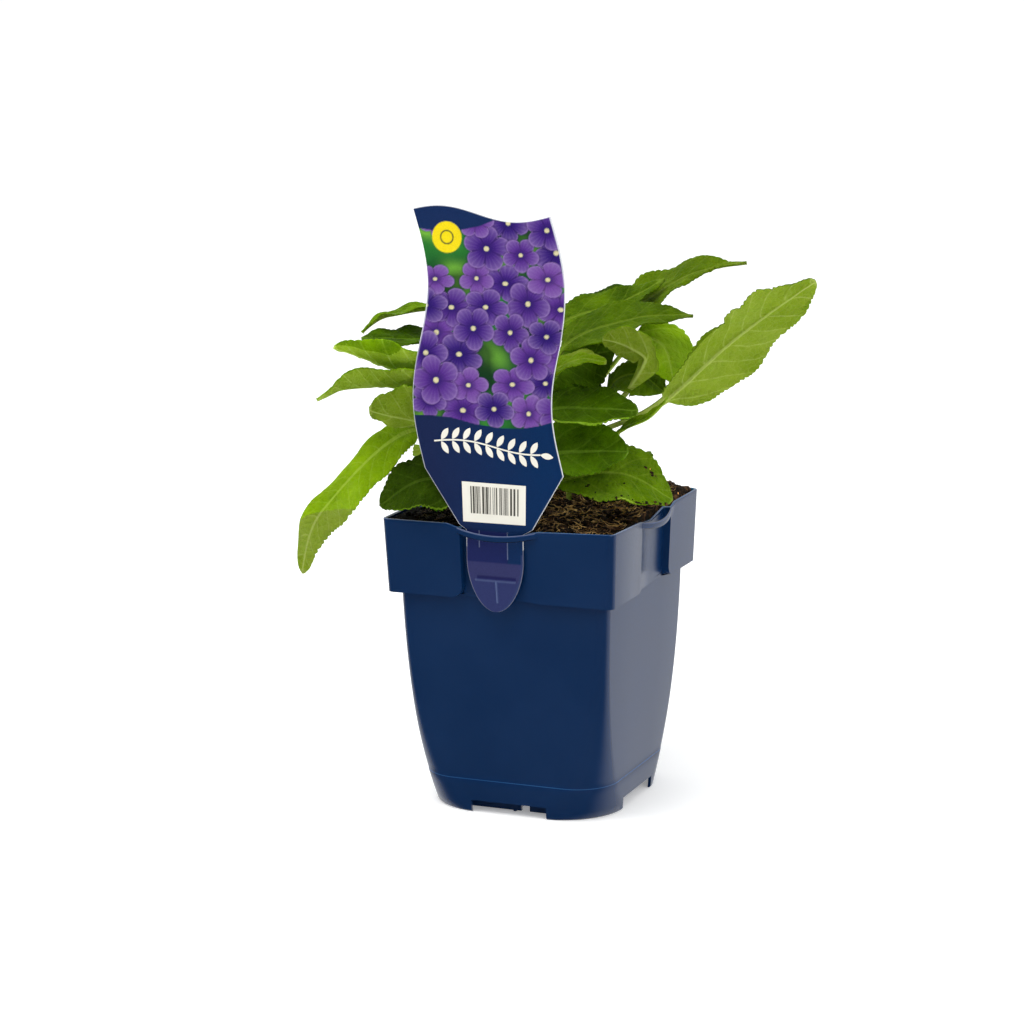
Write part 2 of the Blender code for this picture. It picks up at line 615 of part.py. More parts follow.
def main():
    for obj in list(bpy.data.objects):
        bpy.data.objects.remove(obj)
    parts = new_collection("potted_bellflower")
    pot_plastic = make_material("pot_plastic", (0.006, 0.022, 0.075), 0.35)
    peat = make_material("peat", (0.012, 0.008, 0.005), 0.95)
    card = make_material("label_plastic", (0.007, 0.022, 0.09), 0.3)
    greens = {name: make_material(f"leaf_{name}", colour, 0.5) for name, colour in GREENS.items()}
    make_pot(pot_plastic, parts, new_collection)
    make_soil(peat, parts, new_collection)
    make_label(card, parts)
    for leaf in LEAVES:
        make_leaf(leaf, greens, parts)


main()
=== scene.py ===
# %% [markdown]
# # A potted bellflower
#
# A young clump of toothed leaves grows in a square nursery pot, and a tall printed label stands in its rim.
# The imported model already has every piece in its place, but only in rough facets. This lesson takes the
# pieces one by one and gives each the shape and the finish that the eye expects from close by.

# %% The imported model
import json
import math
import random
from collections import namedtuple

import bmesh
import bpy
import numpy as np
from mathutils import Matrix, Vector, noise

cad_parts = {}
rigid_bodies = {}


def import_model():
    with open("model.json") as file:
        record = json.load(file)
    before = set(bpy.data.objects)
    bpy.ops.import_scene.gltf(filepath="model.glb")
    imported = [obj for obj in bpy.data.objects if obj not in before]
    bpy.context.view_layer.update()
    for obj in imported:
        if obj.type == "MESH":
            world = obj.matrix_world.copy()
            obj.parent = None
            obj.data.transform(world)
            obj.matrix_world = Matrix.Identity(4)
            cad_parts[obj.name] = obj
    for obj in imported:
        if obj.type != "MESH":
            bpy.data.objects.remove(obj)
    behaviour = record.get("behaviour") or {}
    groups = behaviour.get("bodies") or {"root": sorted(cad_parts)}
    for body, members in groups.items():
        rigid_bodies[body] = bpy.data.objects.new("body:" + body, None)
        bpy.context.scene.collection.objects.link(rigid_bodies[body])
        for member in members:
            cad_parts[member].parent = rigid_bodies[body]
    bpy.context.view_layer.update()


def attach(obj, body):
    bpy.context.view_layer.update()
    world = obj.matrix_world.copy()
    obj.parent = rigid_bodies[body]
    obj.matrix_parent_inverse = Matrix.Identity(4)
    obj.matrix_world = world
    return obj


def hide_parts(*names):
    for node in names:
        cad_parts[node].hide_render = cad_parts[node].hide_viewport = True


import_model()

# %% [markdown]
# ## A few helpers
#
# Colours are written as they look on a screen and turned to linear light by one function. One more adds a
# shader node with its settings and links. A range node there takes a value, the range it comes from and
# the range it goes to, and a mixing node takes its share and two colours. One function starts a material
# from the numbers that never change over its surface, and puts those on the shader's own sockets. Those go
# on the shader's own sockets, so that they survive an export. The last ones turn loose points and faces
# into a mesh, and a mesh into a piece that rides with the pot.

# %% Helpers for colours, nodes and materials
def linear(code):
    """A screen colour such as #0a2a4f, as linear light with full cover."""
    parts = [int(code[i:i + 2], 16) / 255 for i in (1, 3, 5)]
    return [p / 12.92 if p <= 0.04045 else ((p + 0.055) / 1.055)**2.4 for p in parts] + [1.0]


def add(tree, kind, inputs=(), **settings):
    """Add a shader node with its settings. Its inputs are filled or linked, by name or in their order."""
    node = tree.nodes.new("ShaderNode" + kind)
    for name, value in settings.items():
        setattr(node, name, value)
    for socket, value in inputs.items() if isinstance(inputs, dict) else enumerate(inputs):
        if isinstance(value, bpy.types.Node):
            value = value.outputs[0]
        if isinstance(value, bpy.types.NodeSocket):
            tree.links.new(value, node.inputs[socket])
        else:
            node.inputs[socket].default_value = value
    return node


def start_material(name, **constants):
    """A material whose shader has these constant values. Returns it, its node tree and its shader."""
    material = bpy.data.materials.new(name)
    material.use_nodes = True
    tree = material.node_tree
    shader = tree.nodes["Principled BSDF"]
    for socket, value in constants.items():
        shader.inputs[socket.replace("_", " ")].default_value = value
    return material, tree, shader


def link(tree, shader, **results):
    """Lead the last node of each chain to the shader's socket of that name."""
    for socket, node in results.items():
        tree.links.new(node.outputs[0], shader.inputs[socket.replace("_", " ")])


def new_object(name, data, collection=None):
    """An object in the scene, or in a collection of its own."""
    obj = bpy.data.objects.new(name, data)
    (collection or bpy.context.scene.collection).objects.link(obj)
    return obj


def to_mesh(bm, name, smooth=True):
    """Turn the points and faces built so far into a mesh, with every face looking outwards."""
    bmesh.ops.recalc_face_normals(bm, faces=bm.faces)
    mesh = bpy.data.meshes.new(name)
    bm.to_mesh(mesh)
    bm.free()
    if smooth:
        mesh.shade_smooth()
    return mesh


def set_piece(name, mesh, materials, replaces=()):
    """Put a mesh into the scene as a piece that rides with the pot."""
    for material in materials:
        mesh.materials.append(material)
    piece = new_object(name, mesh)
    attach(piece, "root")
    if replaces:
        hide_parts(*replaces)
    return piece


print("a mid navy in linear light:", [round(value, 4) for value in linear("#0a2a4f")])

# %% [markdown]
# ## The camera
#
# The photograph was taken with a long lens from the front right, a little above the rim. The three
# directions below are the camera's right, up and backward axes, so they build its rotation directly.

# %% Camera
CAMERA_PLACE = (0.51925, -1.26808, 0.41725)
CAMERA_AXES = ((0.92240, 0.38604, -0.01230), (-0.06813, 0.19398, 0.97864), (0.38018, -0.90186, 0.20523))
FOCAL_PIXELS = 3105.8
PICTURE_PIXELS = 1024

camera_data = bpy.data.cameras.new("camera")
camera_data.sensor_width = 36
camera_data.lens = FOCAL_PIXELS * camera_data.sensor_width / PICTURE_PIXELS
camera = new_object("camera", camera_data)
camera.matrix_world = Matrix.Translation(CAMERA_PLACE) @ Matrix(CAMERA_AXES).transposed().to_4x4()
bpy.context.scene.camera = camera
print("lens, in mm:", round(camera_data.lens, 1))

# %% [markdown]
# ## Floor and light
#
# The pot stands on a seamless pale surface in soft light. Dark glossy plastic shows mostly what it
# reflects: a studio hangs dark card low in front, and keeps white paper behind the object. Here the floor
# is left out of reflections, and the surroundings below the horizon take the place of card and paper.

# %% Floor and light
FLOOR_HALF = 30
FLOOR_GLOW = 0.28
SKY_IN_FRONT = (0.0, 0.9)
SKY_BEHIND = 1.0
PAPER_BEHIND = (0.004, 0.92)
POT_MIDDLE = (0, 0, 0.15)
SOFTBOXES = (("softbox_above", (-0.3, -0.5, 1.7), 1.2, 17), ("softbox_right", (1.6, -1.2, 1.0), 1.0, 10),
             ("softbox_left", (-1.5, -1.3, 1.1), 1.0, 7))


def make_floor():
    """A very wide pale floor, so that no horizon shows."""
    mesh = bpy.data.meshes.new("floor")
    mesh.from_pydata([(x * FLOOR_HALF, y * FLOOR_HALF, 0) for x, y in ((-1, -1), (1, -1), (1, 1), (-1, 1))],
                     [], [(0, 1, 2, 3)])
    material, tree, shader = start_material("pale_paper_floor", Roughness=0.9, Specular_IOR_Level=0.2,
                                            Emission_Color=linear("#ffffff"), Emission_Strength=FLOOR_GLOW)
    grain = add(tree, "TexNoise", {"Scale": 900.0, "Detail": 3.0})
    tone = add(tree, "MixRGB", (grain, linear("#f6f6f5"), linear("#fdfdfc")))
    link(tree, shader, Base_Color=tone)
    mesh.materials.append(material)
    floor = new_object("floor", mesh)
    floor.visible_glossy = False


def make_surroundings():
    """Soft light from above, with dark card low in front of the pot and white paper low behind."""
    world = bpy.data.worlds.new("studio")
    world.use_nodes = True
    tree = world.node_tree
    place = add(tree, "TexCoord")
    parts = add(tree, "SeparateXYZ", {0: place.outputs["Generated"]})
    behind = add(tree, "MapRange", (parts.outputs["Y"], -0.25, 0.45, *PAPER_BEHIND),
                 interpolation_type="SMOOTHSTEP")
    above = add(tree, "MapRange", (parts.outputs["Z"], -0.03, 0.12), interpolation_type="SMOOTHSTEP")
    front = add(tree, "MapRange", (parts.outputs["Z"], 0.3, 0.95, *SKY_IN_FRONT),
                interpolation_type="SMOOTHSTEP")
    backward = add(tree, "MapRange", (parts.outputs["Y"], -0.55, 0.35), interpolation_type="SMOOTHSTEP")
    sky = add(tree, "Mix", {2: front, 3: SKY_BEHIND, 0: backward}, data_type="FLOAT")
    low = add(tree, "Math", (1.0, above), operation="SUBTRACT")
    low_light = add(tree, "Math", (low, behind), operation="MULTIPLY")
    light = add(tree, "Math", (above, sky, low_light), operation="MULTIPLY_ADD")
    background = tree.nodes["Background"]
    background.inputs["Color"].default_value = linear("#fcfdff")
    tree.links.new(light.outputs[0], background.inputs["Strength"])
    bpy.context.scene.world = world


def make_softbox(name, place, size, watts):
    """A square softbox that looks at the middle of the plant."""
    data = bpy.data.lights.new(name, "AREA")
    data.size = size
    data.energy = watts
    light = new_object(name, data)
    light.location = place
    light.rotation_euler = (Vector(POT_MIDDLE) - Vector(place)).to_track_quat("-Z", "Y").to_euler()


make_floor()
make_surroundings()
for softbox in SOFTBOXES:
    make_softbox(*softbox)
bpy.context.scene.view_settings.view_transform = "Standard"
print(len(SOFTBOXES), "softboxes, and surroundings of", SKY_IN_FRONT, "in front and", SKY_BEHIND, "behind")

# %% [markdown]
# ## The pot's form
#
# The pot is a thin shell moulded from polypropylene: a nearly square body that rounds off towards its
# foot, and a taller collar above it. On each side the collar steps in under a thin strap, where a label
# can stand. A lathe can't make a square pot, so it is lofted: ring after ring of points up the outside,
# over the rim and down the inside, all from a few functions of the height.

# %% The pot's sizes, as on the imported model
POT_HEIGHT = 0.134
RIM_HALF = 0.055
RIM_RADIUS = 0.0035
COLLAR_BOTTOM = 0.1005
COLLAR_BOTTOM_HALF = 0.0536
BODY_TOP_HALF = 0.0495
BODY_TOP_RADIUS = 0.005
BODY_FOOT_HALF = 0.0444
BODY_FOOT_RADIUS = 0.0284
BODY_BULGE = 1.22
BODY_ROUNDING = 3.06
WALL = 0.0014
FLOOR_UNDERSIDE = 0.006
FLOOR_THICKNESS = 0.0014
RECESS = ((-0.0235, 0, 0), (-0.0174, 0, 1), (-0.0170, 0.0033, 1), (0, 0.0029, 0), (0.0125, 0.0023, 0),
          (0.020, 0, 0))
PEAT_RECESS = RECESS[:1] + RECESS[2:]
RIM_DIP = 0.004
RIM_DIP_REACH = 0.023
CORNER_STEPS = 14
LIP = 0.0004
EDGE = 0.0006
MOULD_LINE = 0.0154
MOULD_LINE_DEPTH = 0.00016
PANEL_CORNER = 0.0055
MOULD_LINE_HALF = 0.00015
MOULD_LINE_FADE = 0.02
FOOT_LEVELS = (0.0006, 0.004, 0.008, 0.012)
BODY_START = 0.018
BELOW_COLLAR = 0.0005
BODY_PARTS = 18
COLLAR_SHARES = (0.004, 0.012, 0.025, 0.04, 0.06, 0.085, 0.11, 0.14, 0.165, 0.25, 0.5, 0.75, 0.95)
INNER_COLLAR_SHARES = (0.9, 0.6, 0.3)
QUARTER = math.radians(90)


def body_half(z):
    """Half the body's width at a height, below the collar."""
    return BODY_TOP_HALF + (BODY_FOOT_HALF - BODY_TOP_HALF) * (1 - z / COLLAR_BOTTOM)**BODY_BULGE


def body_radius(z):
    """The body's corner radius at a height: nearly square at the top, well rounded at the foot."""
    return BODY_TOP_RADIUS + (BODY_FOOT_RADIUS - BODY_TOP_RADIUS) * (1 - z / COLLAR_BOTTOM)**BODY_ROUNDING


def rim_height(x, y):
    """The rim's height, which dips towards the middle of each side."""
    along = min(abs(x), abs(y)) / RIM_DIP_REACH
    return POT_HEIGHT - RIM_DIP * max(0.0, 1 - along**2)


def outline(half, radius, recess, inset=0.0, recess_points=RECESS, cut_back=0.0):
    """Points round a rounded square, with the label holder's recess in each side.

    Cut back moves the recess's steep step along, as the rounded lower corner beside it does.
    """
    profile = [(along - (inset + cut_back) * step, depth) for along, depth, step in recess_points]
    straight = half - radius
    spread = straight / (RIM_HALF - RIM_RADIUS)
    points = []
    for side in range(4):
        mirrored = [(-along, depth) for along, depth in reversed(profile)]
        row = [Vector((along * spread, -half + depth * recess))
               for along, depth in (mirrored if side % 2 else profile)]
        for step in range(CORNER_STEPS + 1):
            angle = QUARTER * (step / CORNER_STEPS - 1)
            row.append(Vector((straight + radius * math.cos(angle), -straight + radius * math.sin(angle))))
        turn = Matrix.Rotation(QUARTER * side, 2)
        points += [turn @ point for point in row]
    return points


def loft(bm, rings):
    """Skin between rings of equal length, closed round each ring. Returns the rings' vertices."""
    rows = [[bm.verts.new(point) for point in ring] for ring in rings]
    for low, high in zip(rows, rows[1:]):
        for i in range(len(low)):
            j = (i + 1) % len(low)
            bm.faces.new((low[i], low[j], high[j], high[i]))
    return rows


def capped_loft(bm, rings):
    """Skin between rings, with a face over the first ring and one over the last."""
    rows = loft(bm, rings)
    bm.faces.new(rows[0])
    bm.faces.new(rows[-1])


def grid_faces(index):
    """Four-sided faces between the points of a grid, whose numbers are given row by row."""
    return np.stack([index[:-1, :-1], index[:-1, 1:], index[1:, 1:], index[1:, :-1]], -1).reshape(-1, 4)


print("the body narrows from", BODY_TOP_HALF * 2000, "to", BODY_FOOT_HALF * 2000, "mm across")

# %% [markdown]
# The edges of a moulding are never knife sharp, and a rounded lip is what catches the light. So the rings
# crowd together at the lip, at the collar's lower edge and at the foot. A mould also leaves a fine line
# where its two halves met, which runs round the foot as a step of a sixth of a millimetre.

# %% The pot's rings
def pot_rings():
    """The pot's section rings, from the floor's underside out, up, over the lip and down inside."""
    def ring(z, half, radius, recess=0.0, inset=0.0):
        return [(p.x, p.y, z) for p in outline(half, radius, recess, inset)]

    def collar(height_share, inset):
        """A ring of the collar: 0 is its lower edge and 1 the rim."""
        half = COLLAR_BOTTOM_HALF + (RIM_HALF - COLLAR_BOTTOM_HALF) * height_share
        below = max(0.0, PANEL_CORNER - height_share * (POT_HEIGHT - COLLAR_BOTTOM))
        cut_back = PANEL_CORNER - math.sqrt(PANEL_CORNER**2 - below**2)
        points = outline(half - inset, RIM_RADIUS - inset, 1.0, inset, cut_back=cut_back)
        return [(p.x, p.y, COLLAR_BOTTOM + (rim_height(p.x, p.y) - COLLAR_BOTTOM) * height_share)
                for p in points]

    def lip(inset, drop):
        points = outline(RIM_HALF - inset, RIM_RADIUS - inset, 1.0, inset)
        return [(p.x, p.y, rim_height(p.x, p.y) - drop) for p in points]

    def body(z, inset):
        return ring(z, body_half(z) - inset, body_radius(z) - inset)

    floor_top = FLOOR_UNDERSIDE + FLOOR_THICKNESS
    ledge_top = COLLAR_BOTTOM + WALL
    levels = [*FOOT_LEVELS, MOULD_LINE - MOULD_LINE_HALF, MOULD_LINE + MOULD_LINE_HALF]
    body_span = COLLAR_BOTTOM - (BODY_START + BELOW_COLLAR)
    levels += [BODY_START + body_span * part / BODY_PARTS for part in range(BODY_PARTS + 1)]
    rings = [body(FLOOR_UNDERSIDE, WALL), body(0.0, WALL), body(0.0, EDGE)]
    rings += [body(z, (z > MOULD_LINE) * MOULD_LINE_DEPTH * max(0, 1 - (z - MOULD_LINE) / MOULD_LINE_FADE))
              for z in levels]
    rings.append(ring(COLLAR_BOTTOM, BODY_TOP_HALF, BODY_TOP_RADIUS))
    foot_of_collar = outline(COLLAR_BOTTOM_HALF - EDGE, RIM_RADIUS - EDGE, 1.0, EDGE, cut_back=PANEL_CORNER)
    rings.append([(p.x, p.y, COLLAR_BOTTOM) for p in foot_of_collar])
    rings += [collar(share, 0.0) for share in COLLAR_SHARES]
    rings += [lip(0.0, LIP), lip(LIP * 0.3, LIP * 0.3), lip(LIP, 0.0), lip(WALL - LIP, 0.0), lip(WALL, LIP)]
    rings += [collar(share, WALL) for share in INNER_COLLAR_SHARES]
    rings.append(ring(ledge_top, COLLAR_BOTTOM_HALF - WALL, RIM_RADIUS - WALL, 1.0, WALL))
    rings.append(ring(ledge_top, BODY_TOP_HALF - WALL, BODY_TOP_RADIUS - WALL))
    rings += [body(z, WALL) for z in reversed(levels) if z > floor_top]
    rings.append(body(floor_top, WALL))
    return rings


pot_sections = pot_rings()
print(len(pot_sections), "rings of", len(pot_sections[0]), "points")

# %% [markdown]
# Straps, ribs, notches and drain holes come as separate solids, which are joined to the shell or cut from
# it by Boolean modifiers. The strap is a band 3 mm high that bows out over each label holder.

# %% Straps, ribs and cuts
STRAP_REACH = 0.0195
STRAP_BOW = 0.0027
STRAP_SEAT = 0.0543
STRAP_THICKNESS = 0.0012
STRAP_HEIGHT = 0.003
STRAP_RISE = 0.0005
FOOT_NOTCH_WIDTH = 0.036
FOOT_NOTCH_HEIGHT = 0.0056
RIB_HALF = 0.038
RIB_THICKNESS = 0.0014
RIB_BOTTOM = 0.0008
RIB_GAP = (0.0035, 0.0075)
RIB_REACH = 0.032
DRAIN_RADIUS = 0.004
DRAIN_OFFSET = 0.022
STRAP_STEPS = 32
STRAP_SIDES = 20
STRAP_SQUARENESS = 0.75


def tool_object(name, bm, collection=None):
    """An object that only shapes another one, and so never shows."""
    return new_object(name, to_mesh(bm, name, smooth=False), collection)


def box(name, low, high, collection, side=0):
    """A box between two corners, turned to one of the pot's four sides."""
    bm = bmesh.new()
    bmesh.ops.create_cube(bm, size=1)
    bmesh.ops.scale(bm, vec=Vector(high) - Vector(low), verts=bm.verts)
    bmesh.ops.translate(bm, vec=(Vector(high) + Vector(low)) / 2, verts=bm.verts)
    bmesh.ops.rotate(bm, verts=bm.verts, matrix=Matrix.Rotation(QUARTER * side, 3, "Z"))
    return tool_object(name, bm, collection)


def make_strap(side, collection):
    """The band that bows out across a label holder, with rounded edges."""
    def squarer(value):
        return math.copysign(abs(value)**STRAP_SQUARENESS, value)

    bm = bmesh.new()
    angles = [math.tau * (k + 0.5) / STRAP_SIDES for k in range(STRAP_SIDES)]
    section = [(squarer(math.cos(a)), squarer(math.sin(a))) for a in angles]
    rings = []
    for step in range(STRAP_STEPS + 1):
        along = STRAP_REACH * (2 * step / STRAP_STEPS - 1)
        out = STRAP_SEAT + STRAP_BOW * (1 - (along / STRAP_REACH)**2)
        rise = STRAP_RISE * (1 - (along / STRAP_REACH)**2)
        middle = rim_height(along, RIM_HALF) + rise - STRAP_HEIGHT * 0.51
        rings.append([(along, -out + across * STRAP_THICKNESS / 2, middle + up * STRAP_HEIGHT * 0.49)
                      for across, up in section])
    capped_loft(bm, rings)
    bmesh.ops.rotate(bm, verts=bm.verts, matrix=Matrix.Rotation(QUARTER * side, 3, "Z"))
    return tool_object(f"strap_{side}", bm, collection)


def make_tools():
    """Two collections: what is cut from the pot and what is joined to it."""
    cuts, additions = bpy.data.collections.new("pot_cuts"), bpy.data.collections.new("pot_additions")
    reach, across = RIM_HALF * 2, FOOT_NOTCH_WIDTH / 2
    box("notch_x", (-reach, -across, -FOOT_NOTCH_HEIGHT), (reach, across, FOOT_NOTCH_HEIGHT), cuts)
    box("notch_y", (-across, -reach, -FOOT_NOTCH_HEIGHT), (across, reach, FOOT_NOTCH_HEIGHT), cuts)
    for x in (-DRAIN_OFFSET, DRAIN_OFFSET):
        for y in (-DRAIN_OFFSET, DRAIN_OFFSET):
            bm = bmesh.new()
            bmesh.ops.create_cone(bm, cap_ends=True, segments=40, radius1=DRAIN_RADIUS, radius2=DRAIN_RADIUS,
                                  depth=0.02, matrix=Matrix.Translation((x, y, 0.005)))
            tool_object("drain", bm, cuts)
    top = FLOOR_UNDERSIDE + FLOOR_THICKNESS / 2
    for side in range(4):
        make_strap(side, additions)
        for low, high in ((-RIB_REACH, RIB_GAP[0]), (RIB_GAP[1], RIB_REACH)):
            box("rib", (low, -RIB_HALF, RIB_BOTTOM), (high, -RIB_HALF + RIB_THICKNESS, top), additions, side)
    reach, across = RIB_HALF - RIB_THICKNESS / 2, RIB_THICKNESS / 2
    box("cross_x", (-reach, -across, 0), (reach, across, top), additions)
    box("cross_y", (-across, -reach, 0), (across, reach, top), additions)
    return cuts, additions


pot_cuts, pot_additions = make_tools()

# %% [markdown]
# ## Moulded polypropylene
#
# Polypropylene, coloured right through and moulded in a polished tool, has a satin skin. Seen from the
# front it stays deep navy, and at a grazing angle it turns pale with reflected light. Its index of
# refraction is 1.49. Close up its skin is a little wavy, and fine specks of dust lie on it. Other finishes
# are copies of the same plastic in other colours. The lip's top is paler, partly painted light and partly
# the glow of light through thin plastic. The strap's rounded top carries a painted highlight, the mould
# line is painted paler and the far corner carries painted light. The strap's underside and the label
# holder's steep step carry painted shade.

# %% Polypropylene
def moulded_polypropylene(name, deep, light, glow=0.0):
    """Satin polypropylene between two near colours, with broad clouds, dust and a wavy skin."""
    material, tree, shader = start_material(name, Roughness=0.24, IOR=1.49, Subsurface_Weight=glow,
                                            Subsurface_Radius=(0.2, 0.5, 1.0), Subsurface_Scale=0.002)
    place = add(tree, "TexCoord").outputs["Object"]
    cloud = add(tree, "TexNoise", {"Vector": place, "Scale": 22.0, "Detail": 3.0})
    blend = add(tree, "MapRange", (cloud, 0.2, 0.8), interpolation_type="SMOOTHSTEP")
    skin = add(tree, "MixRGB", (blend, linear(deep), linear(light)))
    specks = add(tree, "TexVoronoi", {"Vector": place, "Scale": 210.0, "Randomness": 1.0})
    dust = add(tree, "MapRange", (specks.outputs["Distance"], 0.03, 0.08, 1.0, 0.0))
    rare = add(tree, "Math", (specks.outputs["Color"], 0.93), operation="GREATER_THAN")
    dusty = add(tree, "Math", (dust, rare), operation="MULTIPLY")
    colour = add(tree, "MixRGB", (dusty, skin, linear("#52637f")))
    scuffs = add(tree, "MapRange", (cloud, 0.0, 1.0, 0.2, 0.28))
    waviness = add(tree, "TexNoise", {"Vector": place, "Scale": 90.0, "Detail": 1.0})
    bump = add(tree, "Bump", {"Height": waviness, "Strength": 0.03, "Distance": 0.0004})
    link(tree, shader, Base_Color=colour, Roughness=scuffs, Normal=bump)
    return material


POT_FINISHES = {
    "wall": moulded_polypropylene("moulded_polypropylene", "#04264d", "#072a53"),
    # painted light on the lip's upward faces, with a little real glow through the thin plastic
    "lip top with painted light": moulded_polypropylene("thin_edge_of_polypropylene", "#16406f", "#1f5083", glow=0.1),
    "mould line": moulded_polypropylene("mould_line_of_polypropylene", "#194273", "#265487", glow=0.1),
    "lit corner": moulded_polypropylene("sunlit_corner_of_polypropylene", "#0a5f8f", "#1179a8"),
    "shaded step": moulded_polypropylene("shaded_step_of_polypropylene", "#010f26", "#02142e"),
    # painted highlight on the strap's rounded top
    "rubbed strap": moulded_polypropylene("rubbed_strap_of_polypropylene", "#26385f", "#33466e"),
}
print(len(POT_FINISHES), "finishes of one plastic:", ", ".join(POT_FINISHES))

# %% [markdown]
# Which finish a face gets follows from where it is and where it looks. The strap bows out beyond the rim:
# its rounded top gets a painted highlight and the side below it gets painted shade. The label holder's
# steep step, which faces along the side and away from the light, gets painted shade as well. The far
# corner stands in the light, and gets painted light inside and on its lip.

# %% The pot
LIP_DEPTH = 0.0007
LIP_TOP_NORMAL = 0.75
MOULD_LINE_BAND = 0.00016
FAR_CORNER = (0.046, 0.1255)
STRAP_BOTTOM = 0.12
STEP_BAND = (0.015, 0.0235)
STEP_HEIGHTS = (0.107, 0.1295)
STEP_NORMAL = 0.85
SHARP_ANGLE = math.radians(38)


def pot_finish(face):
    """The name of the finish that a face of the pot gets."""
    (x, y, z), normal = face.center, face.normal
    outer, inner = max(abs(x), abs(y)), min(abs(x), abs(y))
    faces_out = normal.x * x + normal.y * y > 0
    looks_up = normal.z > LIP_TOP_NORMAL
    on_lip = z > rim_height(x, y) - LIP_DEPTH and looks_up and outer < STRAP_SEAT + STRAP_THICKNESS / 2
    on_strap = outer > RIM_HALF + 0.0001 and z > STRAP_BOTTOM
    steep = abs(normal.x if abs(x) < abs(y) else normal.y) > STEP_NORMAL
    # painted light on the far corner's inner side and lip
    if min(x, y) > FAR_CORNER[0] and z > FAR_CORNER[1] and (on_lip or not faces_out):
        return "lit corner"
    if abs(z - MOULD_LINE) < MOULD_LINE_BAND and faces_out:
        return "mould line"
    # painted highlight on the strap's upward faces
    if on_strap and normal.z > 0.1:
        return "rubbed strap"
    # painted light on the lip's upward faces
    if on_lip:
        return "lip top with painted light"
    # painted shade under the strap and on the label holder's steep step
    in_step = STEP_BAND[0] < inner < STEP_BAND[1] and STEP_HEIGHTS[0] < z < STEP_HEIGHTS[1]
    shaded = on_strap and normal.z < -0.3 or steep and faces_out and in_step
    return "shaded step" if shaded else "wall"


def make_pot():
    """Loft the shell, apply its Booleans, and give each face its finish."""
    bm = bmesh.new()
    capped_loft(bm, pot_sections)
    shell = tool_object("shell", bm)
    for operation, tools in (("DIFFERENCE", pot_cuts), ("UNION", pot_additions)):
        modifier = shell.modifiers.new(tools.name, "BOOLEAN")
        modifier.operation = operation
        modifier.operand_type = "COLLECTION"
        modifier.collection = tools
        modifier.solver = "EXACT"
    mesh = bpy.data.meshes.new_from_object(shell.evaluated_get(bpy.context.evaluated_depsgraph_get()))
    bpy.data.objects.remove(shell)
    for collection in (pot_cuts, pot_additions):
        for tool in list(collection.objects):
            bpy.data.objects.remove(tool)
        bpy.data.collections.remove(collection)
    mesh.materials.clear()
    piece = set_piece("pot_moulding", mesh, POT_FINISHES.values(), ("pot",))
    finish_names = list(POT_FINISHES)
    for face in mesh.polygons:
        face.material_index = finish_names.index(pot_finish(face))
    mesh.shade_smooth()
    mesh.set_sharp_from_angle(angle=SHARP_ANGLE)
    return piece


pot = make_pot()
print("the pot has", len(pot.data.polygons), "faces")

# %% [markdown]
# ## Peat
#
# The pot is filled with peat: nearly black, damp crumbs with orange brown fibres of wood and moss. A
# smooth surface with a bumpy shader looks like cloth, so the surface itself is uneven, and real crumbs and
# fibres lie on it. A fixed seed keeps every crumb where it is from run to run.

# %% The peat's surface
PEAT_CLEARANCE = 0.0005
PEAT_LEVEL = 0.1332
PEAT_HEAP = 0.003
PEAT_HOLLOW = 0.005
PEAT_CORNER_HEAP = 0.0039
PEAT_CORNER_START = 0.35
PEAT_CORNER_SLOPE = 0.25
PEAT_CORNER_EDGE = 0.0505
PEAT_EDGE_SLOPE = 0.009
PEAT_ROUGHNESS = 0.0013
PEAT_BELOW_RIM = 0.0005
PEAT_LUMPS = 70
PEAT_CRUMBLE = 190
PEAT_CLODS = (0.0007, 420)
PEAT_AROUND = 320
PEAT_RINGS = 64
PEAT_LEVELS = (0.02, 0.04, 0.07, 0.085)


def peat_height(x, y):
    """The peat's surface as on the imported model: heaped at the back right, lower at the front right."""
    heap = max(0.0, (x + y) / (2 * RIM_HALF))**2
    hollow = max(0.0, (x - y) / (2 * RIM_HALF))**2
    lumps = noise.noise(Vector((x, y, 0.3)) * PEAT_LUMPS)
    lumps += 0.5 * noise.noise(Vector((x, y, 0.9)) * PEAT_CRUMBLE)
    return PEAT_LEVEL + PEAT_HEAP * heap - PEAT_HOLLOW * hollow + PEAT_ROUGHNESS * lumps


def fine_peat_height(x, y):
    """The surface with its small clods, and heaped a little higher in the far corner."""
    size, pitch = PEAT_CLODS
    clods = noise.fractal(Vector((x, y, 0.2)) * pitch, 1.0, 2.0, 3)
    corner = min(1.0, max(0.0, (x + y) / (2 * RIM_HALF) - PEAT_CORNER_START) / PEAT_CORNER_SLOPE)
    inside = min(1.0, max(0.0, PEAT_CORNER_EDGE - max(x, y)) / PEAT_EDGE_SLOPE)
    return peat_height(x, y) + size * clods + PEAT_CORNER_HEAP * corner * inside


def evenly_round(points, count):
    """The same closed outline, with its points an even distance apart."""
    points = np.array([(p.x, p.y) for p in points] + [(points[0].x, points[0].y)])
    marks = np.concatenate([[0], np.cumsum(np.linalg.norm(np.diff(points, axis=0), axis=1))])
    wanted = np.linspace(0, marks[-1], count, endpoint=False)
    return np.stack([np.interp(wanted, marks, points[:, 0]), np.interp(wanted, marks, points[:, 1])], 1)


